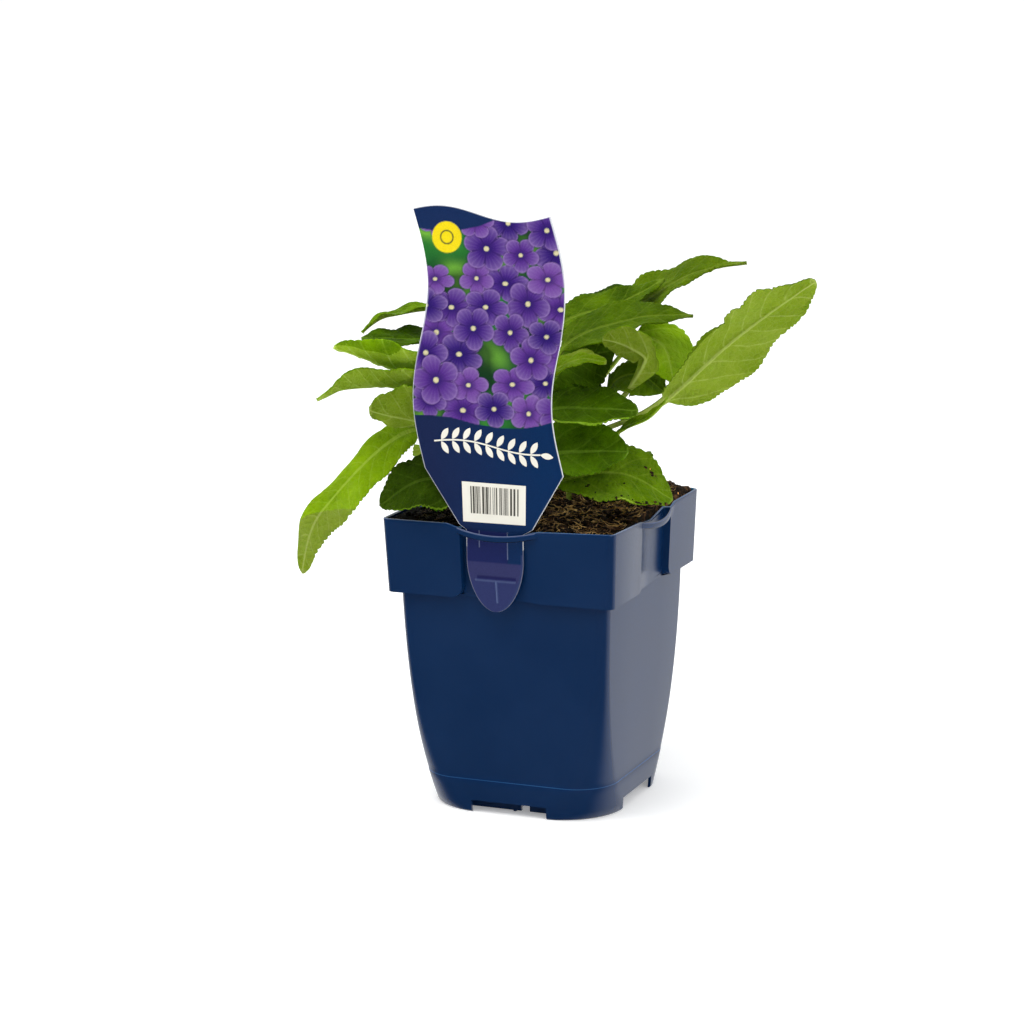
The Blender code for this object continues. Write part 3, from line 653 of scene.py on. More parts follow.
def make_peat(material):
    """A block of peat with a fine surface."""
    inset = WALL + PEAT_CLEARANCE

    def level(z, half, radius, recess=0.0):
        edge = evenly_round(outline(half - inset, radius - inset, recess, inset, PEAT_RECESS), PEAT_AROUND)
        return [(x, y, z) for x, y in edge]

    bottom = FLOOR_UNDERSIDE + FLOOR_THICKNESS + PEAT_CLEARANCE
    ledge = COLLAR_BOTTOM + WALL + PEAT_CLEARANCE
    rings = [level(z, body_half(z), body_radius(z)) for z in (bottom, *PEAT_LEVELS)]
    rings.append(level(ledge, BODY_TOP_HALF, BODY_TOP_RADIUS))
    rings.append(level(ledge, COLLAR_BOTTOM_HALF, RIM_RADIUS, 1.0))
    top = outline(RIM_HALF - inset - PEAT_CLEARANCE, RIM_RADIUS - inset, 1.0, inset, PEAT_RECESS)
    edge = evenly_round(top, PEAT_AROUND)
    rings.append([(x, y, min(peat_height(x, y), rim_height(x, y) - PEAT_BELOW_RIM)) for x, y in edge])
    for step in range(1, PEAT_RINGS):
        share = 1 - step / PEAT_RINGS
        rings.append([(x * share, y * share, fine_peat_height(x * share, y * share)) for x, y in edge])
    bm = bmesh.new()
    rows = loft(bm, rings)
    bm.faces.new(rows[0])
    centre = bm.verts.new((0, 0, fine_peat_height(0, 0)))
    for i in range(PEAT_AROUND):
        bm.faces.new((rows[-1][i], rows[-1][(i + 1) % PEAT_AROUND], centre))
    return set_piece("peat_block", to_mesh(bm, "peat_block"), (material,), ("soil",))


def towards_far_right(tree, place, start, end, low, high):
    """A factor that grows from the left, where it paints the leaves' shade on the peat, to the far right."""
    across = add(tree, "VectorMath", (place, (1.0, 0.6, 0.0)), operation="DOT_PRODUCT")
    return add(tree, "MapRange", (across.outputs["Value"], start, end, low, high))


def damp_peat(name, dark, brown, amber):
    """Damp peat: dull, with brown and amber bits of plant fibre among nearly black crumbs."""
    material, tree, shader = start_material(name, Roughness=0.85, IOR=1.4, Specular_IOR_Level=0.1)
    place = add(tree, "TexCoord").outputs["Object"]
    crumbs = add(tree, "TexVoronoi", {"Vector": place, "Scale": 900.0})
    clods = add(tree, "TexNoise", {"Vector": place, "Scale": 260.0, "Detail": 6.0, "Roughness": 0.7})
    browner = add(tree, "MapRange", (clods, 0.5, 0.72))
    earth = add(tree, "MixRGB", (browner, linear(dark), linear(brown)))
    bright = add(tree, "Math", (crumbs.outputs["Color"], 0.93), operation="GREATER_THAN")
    crumbly = add(tree, "MixRGB", (bright, earth, linear(amber)))
    # painted shade of the leaves at the left, and peat that grows paler towards the far right,
    # most of all in the far corner
    shade_at_left = towards_far_right(tree, place, -0.05, 0.03, 0.2, 1.1)
    paler_far_right = towards_far_right(tree, place, 0.03, 0.06, 1.0, 4.0)
    shade_and_paler_far_right = add(tree, "Math", (shade_at_left, paler_far_right), operation="MULTIPLY")
    colour = add(tree, "MixRGB", (1.0, crumbly, shade_and_paler_far_right), blend_type="MULTIPLY")
    height = add(tree, "Math", (crumbs.outputs["Distance"], 0.7, clods), operation="MULTIPLY_ADD")
    bump = add(tree, "Bump", {"Height": height, "Strength": 0.9, "Distance": 0.0012})
    link(tree, shader, Base_Color=colour, Normal=bump)
    return material


peat = make_peat(damp_peat("damp_peat", "#0c0805", "#4a331d", "#a5763c"))
print("the peat's surface spans", round(max(v.co.z for v in peat.data.vertices) * 1000, 1), "mm up")

# %% [markdown]
# Crumbs are small balls pushed out of round by noise, and fibres are thin bent threads. Each kind is one
# mesh, because a thousand separate objects would only slow the scene down.

# %% Crumbs and fibres
CRUMBS = 2000
CRUMB_SIZES = (0.0005, 0.0013)
CRUMB_WIDTHS = (0.6, 1.3)
CRUMB_HEIGHTS = (0.5, 0.9)
CRUMB_LUMPS = 0.45
FIBRES = 1600
FIBRE_LENGTHS = (0.003, 0.010)
FIBRE_THICKNESSES = (0.00013, 0.00034)
FIBRE_PARTS = 7
FIBRE_ANGLES = (0.3, 2.4, 4.5)
FIBRE_BEND = 3.4
FIBRE_LIFT = 0.0022
FIBRE_GAP = 0.0004
FIBRE_TAPER = 0.6
PEAT_REACH = RIM_HALF - 0.0062
FIBRE_REACH = RIM_HALF - 0.005


def spot_on_peat(chance, share):
    """A random place on the peat, within a share of its reach."""
    while True:
        x, y = chance.uniform(-RIM_HALF, RIM_HALF), chance.uniform(-RIM_HALF, RIM_HALF)
        if max(abs(x), abs(y)) < PEAT_REACH * share:
            return x, y


def crumb_mesh(name, places, sizes, chance):
    """Balls pushed out of round by noise, one at each place."""
    ball = bmesh.new()
    bmesh.ops.create_icosphere(ball, subdivisions=2, radius=1)
    corners = np.array([vertex.co for vertex in ball.verts])
    faces = np.array([[vertex.index for vertex in face.verts] for face in ball.faces])
    ball.free()
    points, polygons = [], []
    for number, (place, size) in enumerate(zip(places, sizes)):
        squash = np.array([chance.uniform(*span) for span in (CRUMB_WIDTHS, CRUMB_WIDTHS, CRUMB_HEIGHTS)])
        turn = np.array(Matrix.Rotation(chance.uniform(0, math.tau), 3, "Z"))
        shift = Vector((number * 3.1, 0, 0))
        rough = np.array([1 + CRUMB_LUMPS * noise.noise(Vector(corner) * 1.6 + shift) for corner in corners])
        points.append((corners * rough[:, None] * squash) @ turn * size + place)
        polygons.append(faces + number * len(corners))
    mesh = bpy.data.meshes.new(name)
    mesh.from_pydata(np.concatenate(points).tolist(), [], np.concatenate(polygons).tolist())
    mesh.shade_smooth()
    return mesh


def make_crumbs(material):
    """Crumbs of peat, half sunk in the surface."""
    chance = random.Random(11)
    sizes = [CRUMB_SIZES[0] + CRUMB_SIZES[1] * chance.random()**2.5 for _ in range(CRUMBS)]
    spots = [spot_on_peat(chance, 0.985) for _ in range(CRUMBS)]
    places = [(x, y, fine_peat_height(x, y) + size * 0.2) for (x, y), size in zip(spots, sizes)]
    set_piece("peat_crumbs", crumb_mesh("peat_crumbs", places, sizes, chance), (material,))


def make_fibres(material):
    """Threads of wood and moss that lie on the peat, more of them at the right."""
    chance = random.Random(5)
    bm = bmesh.new()
    for _ in range(FIBRES):
        x, y = spot_on_peat(chance, 0.97)
        if chance.random() > 0.4 + 0.6 * (x + 0.05) / 0.1:
            continue
        length, thick = chance.uniform(*FIBRE_LENGTHS), chance.uniform(*FIBRE_THICKNESSES)
        heading, bend = chance.uniform(0, math.tau), chance.uniform(-FIBRE_BEND, FIBRE_BEND)
        lift = chance.uniform(0.0, FIBRE_LIFT) * (chance.random() > 0.5)
        rings = []
        for step in range(FIBRE_PARTS + 1):
            share = step / FIBRE_PARTS
            angle = heading + bend * share
            x += math.cos(angle) * length / FIBRE_PARTS
            y += math.sin(angle) * length / FIBRE_PARTS
            x, y = max(-FIBRE_REACH, min(FIBRE_REACH, x)), max(-FIBRE_REACH, min(FIBRE_REACH, y))
            z = fine_peat_height(x, y) + FIBRE_GAP + lift * share
            across = Vector((-math.sin(angle), math.cos(angle), 0))
            fat = thick * (1 - FIBRE_TAPER * share)
            rings.append([Vector((x, y, z)) + across * (fat * math.cos(a)) + Vector((0, 0, fat * math.sin(a)))
                          for a in FIBRE_ANGLES])
        capped_loft(bm, rings)
    return set_piece("peat_fibres", to_mesh(bm, "peat_fibres"), (material,))


def plant_fibre(name, brown, amber):
    """Dry bits of root and moss: matt, from dark brown to amber along their length."""
    material, tree, shader = start_material(name, Roughness=0.8, IOR=1.45)
    place = add(tree, "TexCoord").outputs["Object"]
    patches = add(tree, "TexNoise", {"Vector": place, "Scale": 140.0, "Detail": 2.0})
    blend = add(tree, "MapRange", (patches, 0.42, 0.62))
    colour = add(tree, "MixRGB", (blend, linear(brown), linear(amber)))
    # painted shade of the leaves at the left
    shade_at_left = towards_far_right(tree, place, -0.05, 0.03, 0.2, 1.1)
    shaded = add(tree, "MixRGB", (1.0, colour, shade_at_left), blend_type="MULTIPLY")
    link(tree, shader, Base_Color=shaded)
    return material


crumb_finish = damp_peat("peat_crumb", "#130c08", "#5f4326", "#c08c42")
make_crumbs(crumb_finish)
fibres = make_fibres(plant_fibre("root_and_moss_fibre", "#5b3a18", "#deb36c"))
print(CRUMBS, "crumbs, and fibres with", len(fibres.data.polygons), "faces")

# %% [markdown]
# ## Leaves: where each one goes
#
# Each leaf is described by a few numbers: where its stalk leaves the peat, three points that its blade
# runs through, its width, how far it rolls about its own line at its base and at its tip, how hollow it is
# across, and how far its margins ripple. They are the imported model's numbers, so the finer leaves lie where
# the rough ones are.

# %% The leaves' places
FORMS = {"lance": (0.38, 0.7, 1.0), "oval": (0.45, 0.6, 0.6), "broad": (0.36, 0.6, 0.5)}
Leaf = namedtuple("Leaf", "name green form root base middle tip width roll tip_roll cup wave")
# lengths are in millimetres and rolls in degrees, and the wave of the margins is in tenths of a millimetre
LEAF_ROWS = (
    ("left_top", "mid", "oval",
     (-30, -6), (-40, -12, 219), (-66, -19, 219), (-78, -22, 211), 17, -4, -4, 0.15, 8),
    ("left_upper", "dark", "oval",
     (-31, -15), (-34, -18, 205), (-57, -28, 210), (-73, -33, 210), 24, -10, -8, 0.15, 10),
    ("left_wide", "mid", "oval",
     (-22, -17), (-31, -28, 187), (-56, -39, 199), (-80, -47, 208), 28, 28, 30, 0.4, 10),
    ("left_long", "mid", "lance",
     (-30, -25), (-33, -36, 183), (-65, -49, 192), (-83, -59, 186), 20, 24, 34, 0.5, 10),
    ("left_short", "mid", "oval",
     (-21, -30), (-33, -44, 176), (-45, -49, 181), (-57, -60, 184), 24, 50, 60, 0.25, 8),
    ("left_drooping", "bright", "oval",
     (-34, -17), (-47, -30, 169), (-82, -55, 135), (-90, -63, 108), 19, -26, -50, -0.1, 10),
    ("left_low", "dark", "oval",
     (-20, -35), (-24, -40, 149), (-38, -49, 151), (-56, -53, 139), 26, -44, -40, 0.1, 8),
    ("right_behind", "dark", "oval",
     (-13, 14), (-6, 21, 202), (12, 40, 218), (24, 56, 225), 25, 16, 10, 0.2, 10),
    ("right_arching", "bright", "lance",
     (-10, 24), (20, 26, 205), (53, 35, 233), (83, 39, 241), 30, 34, 14, 0.1, 12),
    ("right_middle", "mid", "lance",
     (-15, 5), (5, 8, 212), (29, 21, 223), (47, 32, 233), 24, 30, 20, 0.1, 10),
    ("right_pointed", "mid", "lance",
     (-12, -5), (13, -8, 205), (42, 3, 219), (67, 13, 220), 28, 26, 20, 0.1, 10),
    ("right_folded", "bright", "oval",
     (6, 16), (54, -11, 203), (46, -14, 210), (36, -18, 213), 19, 50, 50, 0.1, 6),
    ("right_facing", "bright", "oval",
     (-6, 30), (39, 11, 208), (53, 11, 207), (60, 6, 191), 30, 20, 20, 0.1, 10),
    ("right_large", "bright", "broad",
     (-8, -2), (60, -5, 185), (89, 3, 212), (123, 13, 238), 39, -58, -50, -0.1, 15),
    ("right_dark", "dark", "oval",
     (-8, -20), (13, -29, 180), (36, -24, 183), (53, -19, 182), 25, 36, 30, 0.1, 8),
    ("right_lower", "dark", "oval",
     (-10, -28), (14, -31, 161), (33, -25, 164), (49, -21, 164), 29, 44, 40, 0.1, 8),
    ("right_resting", "mid", "oval",
     (-3, -33), (17, -27, 149), (43, -15, 153), (63, -4, 140), 39, 33, 30, 0.1, 10),
    ("right_upturned", "bright", "oval",
     (-8, -13), (13, -25, 195), (26, -23, 204), (39, -21, 203), 18, 20, 10, 0.1, 6),
    ("right_narrow", "mid", "lance",
     (19, 23), (39, -6, 170), (56, -14, 179), (65, -14, 188), 8, 30, 30, 0.2, 3),
    ("right_shaded", "dark", "oval", (-8, 14), (4, 2, 184), (14, 6, 185), (25, 10, 184), 22, 40, 40, 0.1, 8),
    ("right_inner", "dark", "oval", (-19, -4), (8, -2, 193), (21, 7, 201), (30, 13, 203), 16, 50, 40, 0.1, 6),
    ("right_small", "mid", "oval", (8, 25), (32, 4, 189), (43, 6, 194), (55, 8, 186), 18, 30, 30, 0.1, 4),
    ("back_left", "mid", "oval",
     (-41, 0), (-46, 24, 165), (-69, 42, 170), (-85, 60, 161), 30, 10, 0, 0.2, 12),
    ("back_middle", "bright", "oval",
     (-31, 13), (-35, 33, 174), (-48, 60, 182), (-60, 83, 178), 32, 0, 0, 0.2, 12),
    ("back_right", "mid", "oval",
     (-24, 27), (-20, 46, 163), (-18, 75, 168), (-18, 99, 159), 30, -10, 0, 0.2, 12),
    ("back_far", "dark", "oval", (-7, 38), (1, 57, 143), (8, 77, 145), (15, 93, 134), 28, 10, 0, 0.15, 10),
    ("back_low", "mid", "oval",
     (-41, 11), (-52, 28, 144), (-68, 39, 147), (-79, 51, 138), 26, 10, 0, 0.15, 10),
    ("inner_upright", "bright", "oval",
     (-23, 3), (-23, 6, 192), (-25, 9, 216), (-25, 7, 238), 22, 0, 0, 0.3, 8),
    ("inner_front", "mid", "oval",
     (-17, -21), (-16, -22, 193), (-14, -30, 213), (-14, -34, 230), 22, 0, 0, 0.3, 8),
)


def metres(lengths):
    """A length or a place that is written in millimetres, in metres."""
    return tuple(length / 1000 for length in lengths) if isinstance(lengths, tuple) else lengths / 1000


LEAVES = [Leaf("leaf_" + name, green, form, *map(metres, sizes), roll, tip_roll, cup, wave / 10000)
          for name, green, form, *sizes, roll, tip_roll, cup, wave in LEAF_ROWS]
print(len(LEAVES), "leaves, the widest", max(leaf.width for leaf in LEAVES) * 1000, "mm across")

# %% [markdown]
# No two leaves of a plant are equally green or evenly grown. A second table says what sets single leaves
# apart: how light each side is, partly by the leaf's own green and partly by painted light and shade, how
# far each margin reaches as a share of its usual reach, from the blade's base to its tip, and which strips
# of margin are turned over so that the other side's colour shows. Some blades also run down their stalk as
# a wing: from which share of the stalk, and how wide at the blade. A blade whose tip has flipped shows its
# other side beyond a line, given by its share at each margin. And a midrib may lie off the middle, where
# the blade is curled and one half is seen foreshortened. A margin that is folded away has no teeth: smooth
# gives its side.

# %% What sets single leaves apart
Detail = namedtuple("Detail", "upper under left right turned wing flipped midrib smooth",
                    defaults=(1.0, 1.0, (), (), (), (1.0, 0.0), (2.0, 2.0), 0.0, 0))
DETAILS = {
    "leaf_left_top": Detail(0.9, 0.9, ((0, 1), (0.5, 1.1), (0.8, 0.7), (1, 0.4)),
                            ((0, 1), (0.8, 0.8), (1, 0.4))),
    "leaf_left_wide": Detail(1.35, 1.6, turned=((-1, 0.5, 1.0, 0.55),)),
    "leaf_left_long": Detail(1.0, 1.05, ((0, 1), (0.3, 1.15), (0.42, 0.9), (0.5, 1.05), (1, 1)), midrib=0.75),
    "leaf_left_short": Detail(1.0, 0.82, midrib=0.3),
    "leaf_left_drooping": Detail(0.93, 0.64, ((0, 2.0), (0.2, 1.3), (0.4, 1.0), (0.55, 1.2), (0.65, 1.1),
                                              (0.75, 0.95), (1, 1)),
                                 ((0, 3.0), (0.12, 2.2), (0.2, 1.5), (0.35, 1.05), (0.6, 1.0), (0.75, 1.25),
                                  (0.9, 1.25), (1, 1.1)), flipped=(0.54, 0.75), midrib=0.2, smooth=1),
    "leaf_left_low": Detail(0.47, 0.85, ((0, 2.2), (0.2, 1.7), (0.35, 1.35), (0.55, 1.1), (1, 1)),
                            turned=((-1, 0.1, 0.95, 0.94),)),
    "leaf_right_behind": Detail(0.6, 0.6),
    "leaf_right_arching": Detail(0.45, 0.6, ((0, 0.8), (0.28, 0.8), (0.38, 1.15), (0.6, 1), (1, 1)),
                                 ((0, 1), (0.42, 1), (0.6, 0.75), (0.75, 0.5), (0.9, 0.5), (1, 0.6))),
    "leaf_right_middle": Detail(0.62, 0.65),
    "leaf_right_pointed": Detail(0.52, 0.6, ((0, 1.1), (0.4, 1.0), (0.7, 1.1), (0.8, 0.9), (1, 1)),
                                 ((0, 1.1), (0.5, 1.1), (0.7, 0.8), (1, 0.9))),
    "leaf_right_folded": Detail(0.6, 0.6, ((0, 1.2), (1, 1.1)), ((0, 1.0), (1, 1.1)), wing=(0.7, 0.006)),
    "leaf_right_facing": Detail(1.1, 0.9, ((0, 1), (0.3, 1.1), (0.5, 0.9), (1, 1)),
                                ((0, 1), (0.4, 1.15), (1, 1))),
    "leaf_right_large": Detail(0.5, 0.78, ((0, 0.92), (0.28, 1.03), (0.5, 1.0), (0.6, 0.92), (0.8, 0.85),
                                           (1, 0.85)),
                               ((0, 0.6), (0.1, 0.6), (0.27, 0.72), (0.44, 0.66), (0.5, 0.68), (0.54, 0.9),
                                (0.59, 0.95), (0.62, 0.86), (0.67, 0.96), (0.74, 1.02), (0.79, 0.84),
                                (0.88, 0.82), (1, 0.95)), ((1, 0.2, 0.5, 0.82),), wing=(0.6, 0.0021)),
    "leaf_right_dark": Detail(1.0, 1.8, turned=((1, 0.06, 0.97, 0.88),)),
    "leaf_right_lower": Detail(1.3, 1.0, ((0, 2.4), (0.2, 1.6), (0.4, 1.1), (1, 1)), wing=(0.8, 0.008)),
    "leaf_right_resting": Detail(0.9, 1.2, turned=((1, 0.45, 0.7, 0.93),)),
    "leaf_right_upturned": Detail(0.6, 0.55, turned=((-1, 0.35, 1.0, 0.6),)),
    "leaf_right_narrow": Detail(0.9, 1.0),
    "leaf_right_shaded": Detail(0.9, 1.0, ((0, 1.3), (1, 1.3)), ((0, 1.3), (1, 1.3))),
    "leaf_right_inner": Detail(0.9, 1.0, ((0, 1.4), (1, 1.4)), ((0, 1.9), (0.6, 2.1), (1, 1.6)),
                               wing=(0.8, 0.006)),
    "leaf_right_small": Detail(0.75, 0.8, ((0, 1.2), (1, 1.2)), ((0, 1.7), (0.6, 1.9), (1, 1.4)),
                               wing=(0.85, 0.007)),
}
print(len(DETAILS), "leaves have details of their own")

# %% [markdown]
# ## Leaves: the line and the blade
#
# A leaf's middle line is a smooth curve up its stalk and along its midrib. Rings of points are set across
# that line: a small round ring on the stalk, and a wide flat one on the blade. The real blade isn't
# smooth. Its side veins sink into the upper side and the tissue between them swells, its margin has blunt
# teeth 2 to 4 mm apart, and its midrib stands out below. Nothing in it repeats evenly, so noise bends the
# veins, shifts the teeth and lets each margin swing in and out a little.

# %% The leaf's line and its outline
HOLE_DEPTH = 0.009
HOLE_CLEARANCE = 0.0004
COLLAR_HEIGHT = 0.002
STALK_RADIUS = 0.0012
STALK_TAPER = 0.25
STALK_TIP = 0.3
WAVE_TURNS = 17
WAVE_SLANT = 2
WAVE_SHIFT = 900


def smooth_line(points, upright):
    """A smooth curve through points, upright at the first few, with each point's place and the length."""
    points = [Vector(p) for p in points]
    marks = [0.0]
    for a, b in zip(points, points[1:]):
        marks.append(marks[-1] + (b - a).length)
    slopes = []
    for i in range(len(points)):
        before, after = max(i - 1, 0), min(i + 1, len(points) - 1)
        slope = (points[after] - points[before]) / (marks[after] - marks[before])
        slopes.append(Vector((0, 0, 1)) if i < upright else slope)
    chord = (points[-1] - points[-2]) / (marks[-1] - marks[-2])
    slopes[-1] = (1.5 * chord - 0.5 * slopes[-2]).normalized()

    def at(place):
        distance = marks[0] + (marks[-1] - marks[0]) * place
        i = 0
        while i < len(points) - 2 and distance > marks[i + 1]:
            i += 1
        span = marks[i + 1] - marks[i]
        t = (distance - marks[i]) / span
        h00, h10 = 2 * t**3 - 3 * t**2 + 1, t**3 - 2 * t**2 + t
        h01, h11 = 3 * t**2 - 2 * t**3, t**3 - t**2
        return (points[i] * h00 + slopes[i] * (h10 * span)
                + points[i + 1] * h01 + slopes[i + 1] * (h11 * span))

    return at, [mark / marks[-1] for mark in marks], marks[-1]


def blade_shape(form, along):
    """The blade's half width as a share of its greatest, from its base, 0, to its tip, 1."""
    widest, base_power, tip_power = FORMS[form]
    if along < widest:
        return math.sin(math.pi / 2 * along / widest)**base_power
    return max(0.0, 1 - ((along - widest) / (1 - widest))**2)**tip_power


print("a broad blade is widest at", FORMS["broad"][0], "of its length")

# %% [markdown]
# The shader later draws the veins, and it needs to know where they run. So the mesh carries that along:
# a number that goes up by one from each side vein to the next, and a map of each point's place on the
# flat leaf in hundredths of a metre. Relief and colour then agree everywhere.

# %% One leaf's relief
STALK_RINGS = 26
RING_SPACING = 0.0006
HALF_ACROSS = np.concatenate([[0.02, 0.05, 0.09], np.linspace(0.15, 0.94, 12), [0.97, 1.0]])
ACROSS = np.concatenate([-HALF_ACROSS[::-1], [0], HALF_ACROSS])
BLADE_HALF_THICKNESS = 0.00024
MIDRIB_DEPTH = 0.0012
TOOTH_SPACING = 0.0025
TOOTH_DEPTH = 0.0011
SWELL = 0.0004
PUCKER = 0.0004
SIDE_VEIN_SPACING = 0.0115
SIDE_RIB_DEPTH = 0.00026
SIDE_RIB_WIDTH = 0.0016
MIDRIB_WIDTHS = (0.0005, 0.0011)
MIDRIB_GROOVE = 0.0003
GROOVE_WIDTH = 0.0008
BESIDE_MIDRIB = 0.0022
VEIN_SLANT = 0.8
VEIN_CURVE = 16
VEIN_BEND = 0.35
VEIN_FOOT = (0.22, 0.002)
MARGIN_SWING = 0.1
MARGIN_FRILL = 0.0007
NARROW = 0.006
LOOK_AHEAD = 0.004
# how quickly each unevenness changes, in turns of noise per metre
SWING_PITCH, TOOTH_SHIFT_PITCH, TOOTH_SIZE_PITCH = 75, 130, 120
BEND_PITCHES, PUCKER_PITCH, FRILL_PITCH = (45, 60), 260, 140
Ring = namedtuple("Ring", "place along run across off half full flat")


def margin_share(profile, along):
    """How far a margin reaches at a place along the blade, as a share of its usual reach."""
    return float(np.interp(along, *zip(*profile))) if profile else 1.0


def ring_margins(detail, ring, seed):
    """How far each point of a ring reaches, as a share of its usual reach, and how deep its tooth cuts."""
    share, tooth = np.ones(len(ACROSS)), np.zeros(len(ACROSS))
    fade = min(1.0, ring.full / NARROW)
    for sign, profile in ((-1, detail.left), (1, detail.right)):
        own = ACROSS * sign > 0
        swing = MARGIN_SWING * noise.noise((ring.run * SWING_PITCH, sign * 3.0, seed + 8)) * fade
        profiled = margin_share(profile, ring.along) + swing - 1
        share[own] = 1 + profiled * np.abs(ACROSS[own])**0.5 * ring.flat
        shift = 0.9 * noise.noise((ring.run * TOOTH_SHIFT_PITCH, sign * 9.0, seed))
        phase = ring.run / TOOTH_SPACING + shift
        lobe = abs(math.sin(math.pi * phase))**0.7
        uneven = 0.25 + 3 * abs(noise.noise((ring.run * TOOTH_SIZE_PITCH, sign * 5.0, seed + 4)))
        edge = np.clip((ACROSS * sign - 0.8) / 0.2, 0, 1)**1.2 * (sign != detail.smooth)
        tooth += edge * TOOTH_DEPTH * min(1.3, uneven) * (1 - lobe) * fade * (ring.along > 0)
    return share, tooth


def ring_veins(ring, spacing, seed):
    """The side veins' numbers across a ring. They leave the midrib forwards and curve further forwards."""
    along, sideways = BEND_PITCHES
    bend = np.array([noise.noise((ring.run * along, x * sideways, seed + 2)) for x in ring.across])
    number = (ring.run - VEIN_SLANT * np.abs(ring.off) - VEIN_CURVE * ring.off**2) / spacing
    return number + VEIN_BEND * bend + VEIN_FOOT[0] * np.tanh(ring.off / VEIN_FOOT[1])


def ring_relief(leaf, ring, vein, spacing, seed):
    """How far a ring's points lift, how thick they are above and below, and how near the midrib they are."""
    between = 0.5 - 0.5 * np.cos(math.tau * vein)
    inner = np.clip(np.abs(ring.off) / BESIDE_MIDRIB, 0, 1)
    outer = 1 - np.clip((np.abs(ACROSS) - 0.7) / 0.3, 0, 1)**2
    puckers = np.array([noise.noise((ring.run * PUCKER_PITCH, x * PUCKER_PITCH, seed + 6))
                        for x in ring.across])
    swell = (SWELL * between**0.6 + PUCKER * puckers) * inner * outer
    ripple = np.sin(ring.along * WAVE_TURNS + ACROSS * WAVE_SLANT + leaf.root[0] * WAVE_SHIFT)
    frill = MARGIN_FRILL * noise.noise((ring.run * FRILL_PITCH, 2.0, seed + 12))
    frill = frill * np.abs(ACROSS)**3 * np.sign(ACROSS)
    groove = -MIDRIB_GROOVE * np.exp(-(ring.off / GROOVE_WIDTH)**2)
    lift = ring.flat * (leaf.cup * ring.half * ACROSS**2 + leaf.wave * ripple * ACROSS**2 + frill
                        + swell + groove)
    stalk = STALK_RADIUS * (1 - STALK_TAPER * ring.place) * np.maximum(STALK_TIP, np.sqrt(1 - ACROSS**2))
    thin = BLADE_HALF_THICKNESS * np.hypot(1, 2 * leaf.cup * ACROSS)
    thick = thin * ring.flat + stalk * (1 - ring.flat)
    rib_width = MIDRIB_WIDTHS[0] + MIDRIB_WIDTHS[1] * (1 - ring.along) * min(1.0, leaf.width / 0.03)
    rib = np.exp(-(ring.off / rib_width)**2)
    ridge = np.exp(-((between**0.5) * spacing / SIDE_RIB_WIDTH)**2)
    side_rib = ring.flat * SIDE_RIB_DEPTH * ridge * outer * inner
    below = thick + ring.flat * MIDRIB_DEPTH * (1 - ring.along)**0.8 * rib + side_rib
    return lift, thick, below, np.maximum(1 - ring.flat, rib)


def leaf_rows(leaf):
    """The upper and lower points of a leaf's rings, with their vein numbers, ribs and flat places."""
    foot = (*leaf.root, peat_height(*leaf.root) - HOLE_DEPTH + HOLE_CLEARANCE)
    collar = (*leaf.root, peat_height(*leaf.root) + COLLAR_HEIGHT)
    at, marks, length = smooth_line((foot, collar, leaf.base, leaf.middle, leaf.tip), 2)
    base_mark = marks[2]
    rings = round((1 - base_mark) * length / RING_SPACING)
    places = [(base_mark * step / STALK_RINGS, 0.0) for step in range(STALK_RINGS)]
    places += [(base_mark + (1 - base_mark) * step / rings, step / rings) for step in range(rings + 1)]
    seed = sum(ord(letter) for letter in leaf.name) * 0.37
    spacing = min(SIDE_VEIN_SPACING, leaf.width * 0.4)
    detail = DETAILS.get(leaf.name, Detail())
    wing_start, wing_width = detail.wing
    heading = Vector(leaf.tip) - Vector(leaf.base)
    sideways = Vector((-heading.y, heading.x, 0))
    rows = []
    for place, along in places:
        ahead = (at(min(place + LOOK_AHEAD, 1.0)) - at(max(place - LOOK_AHEAD, 0.0))).normalized()
        left = (sideways - ahead * sideways.dot(ahead)).normalized()
        roll = math.radians(leaf.roll + (leaf.tip_roll - leaf.roll) * along)
        left.rotate(Matrix.Rotation(roll, 3, ahead))
        up = ahead.cross(left)
        below_blade = (place - wing_start * base_mark) / (base_mark * (1.0001 - wing_start))
        wing = wing_width * min(1.0, max(0.0, below_blade))**1.5 * max(0.0, 1 - along / 0.4)
        full = max(blade_shape(leaf.form, along) * leaf.width / 2, wing)
        flat = min(1.0, max(0.0, full / (leaf.width / 4)))
        half = max(full, STALK_RADIUS * (1 - (1 - STALK_TIP) * along))
        run, across = (place - base_mark) * length, ACROSS * half
        off = across - detail.midrib * half * min(1.0, flat * 2)
        ring = Ring(place, along, run, across, off, half, full, flat)
        share, tooth = ring_margins(detail, ring, seed)
        reach = across * share - np.sign(ACROSS) * tooth
        vein = ring_veins(ring, spacing, seed)
        lift, thick, below, rib = ring_relief(leaf, ring, vein, spacing, seed)
        left, up = np.array(left)[None], np.array(up)[None]
        base = np.array(at(place))[None] - left * reach[:, None] + up * lift[:, None]
        flat_place = np.stack([np.full(len(ACROSS), run), across], 1)
        rows.append((base + up * thick[:, None], base - up * below[:, None], vein, rib, flat_place))
    return [np.array(values) for values in zip(*rows)]


sample = leaf_rows(LEAVES[0])
print("the first leaf has", sample[2].shape[0], "rings of", sample[2].shape[1], "points a side")

# %% [markdown]
# The mesh is closed: an upper and a lower grid, two margins, and an end at the stalk's foot and at the tip.
# Where a margin is turned over, the two finishes trade places. All stalks are equally green, so each
# blade's own tone fades in over a few rings near its base.

# %% One leaf's mesh
STALK_TONE = 0.9
TONE_RINGS = (16, 18)


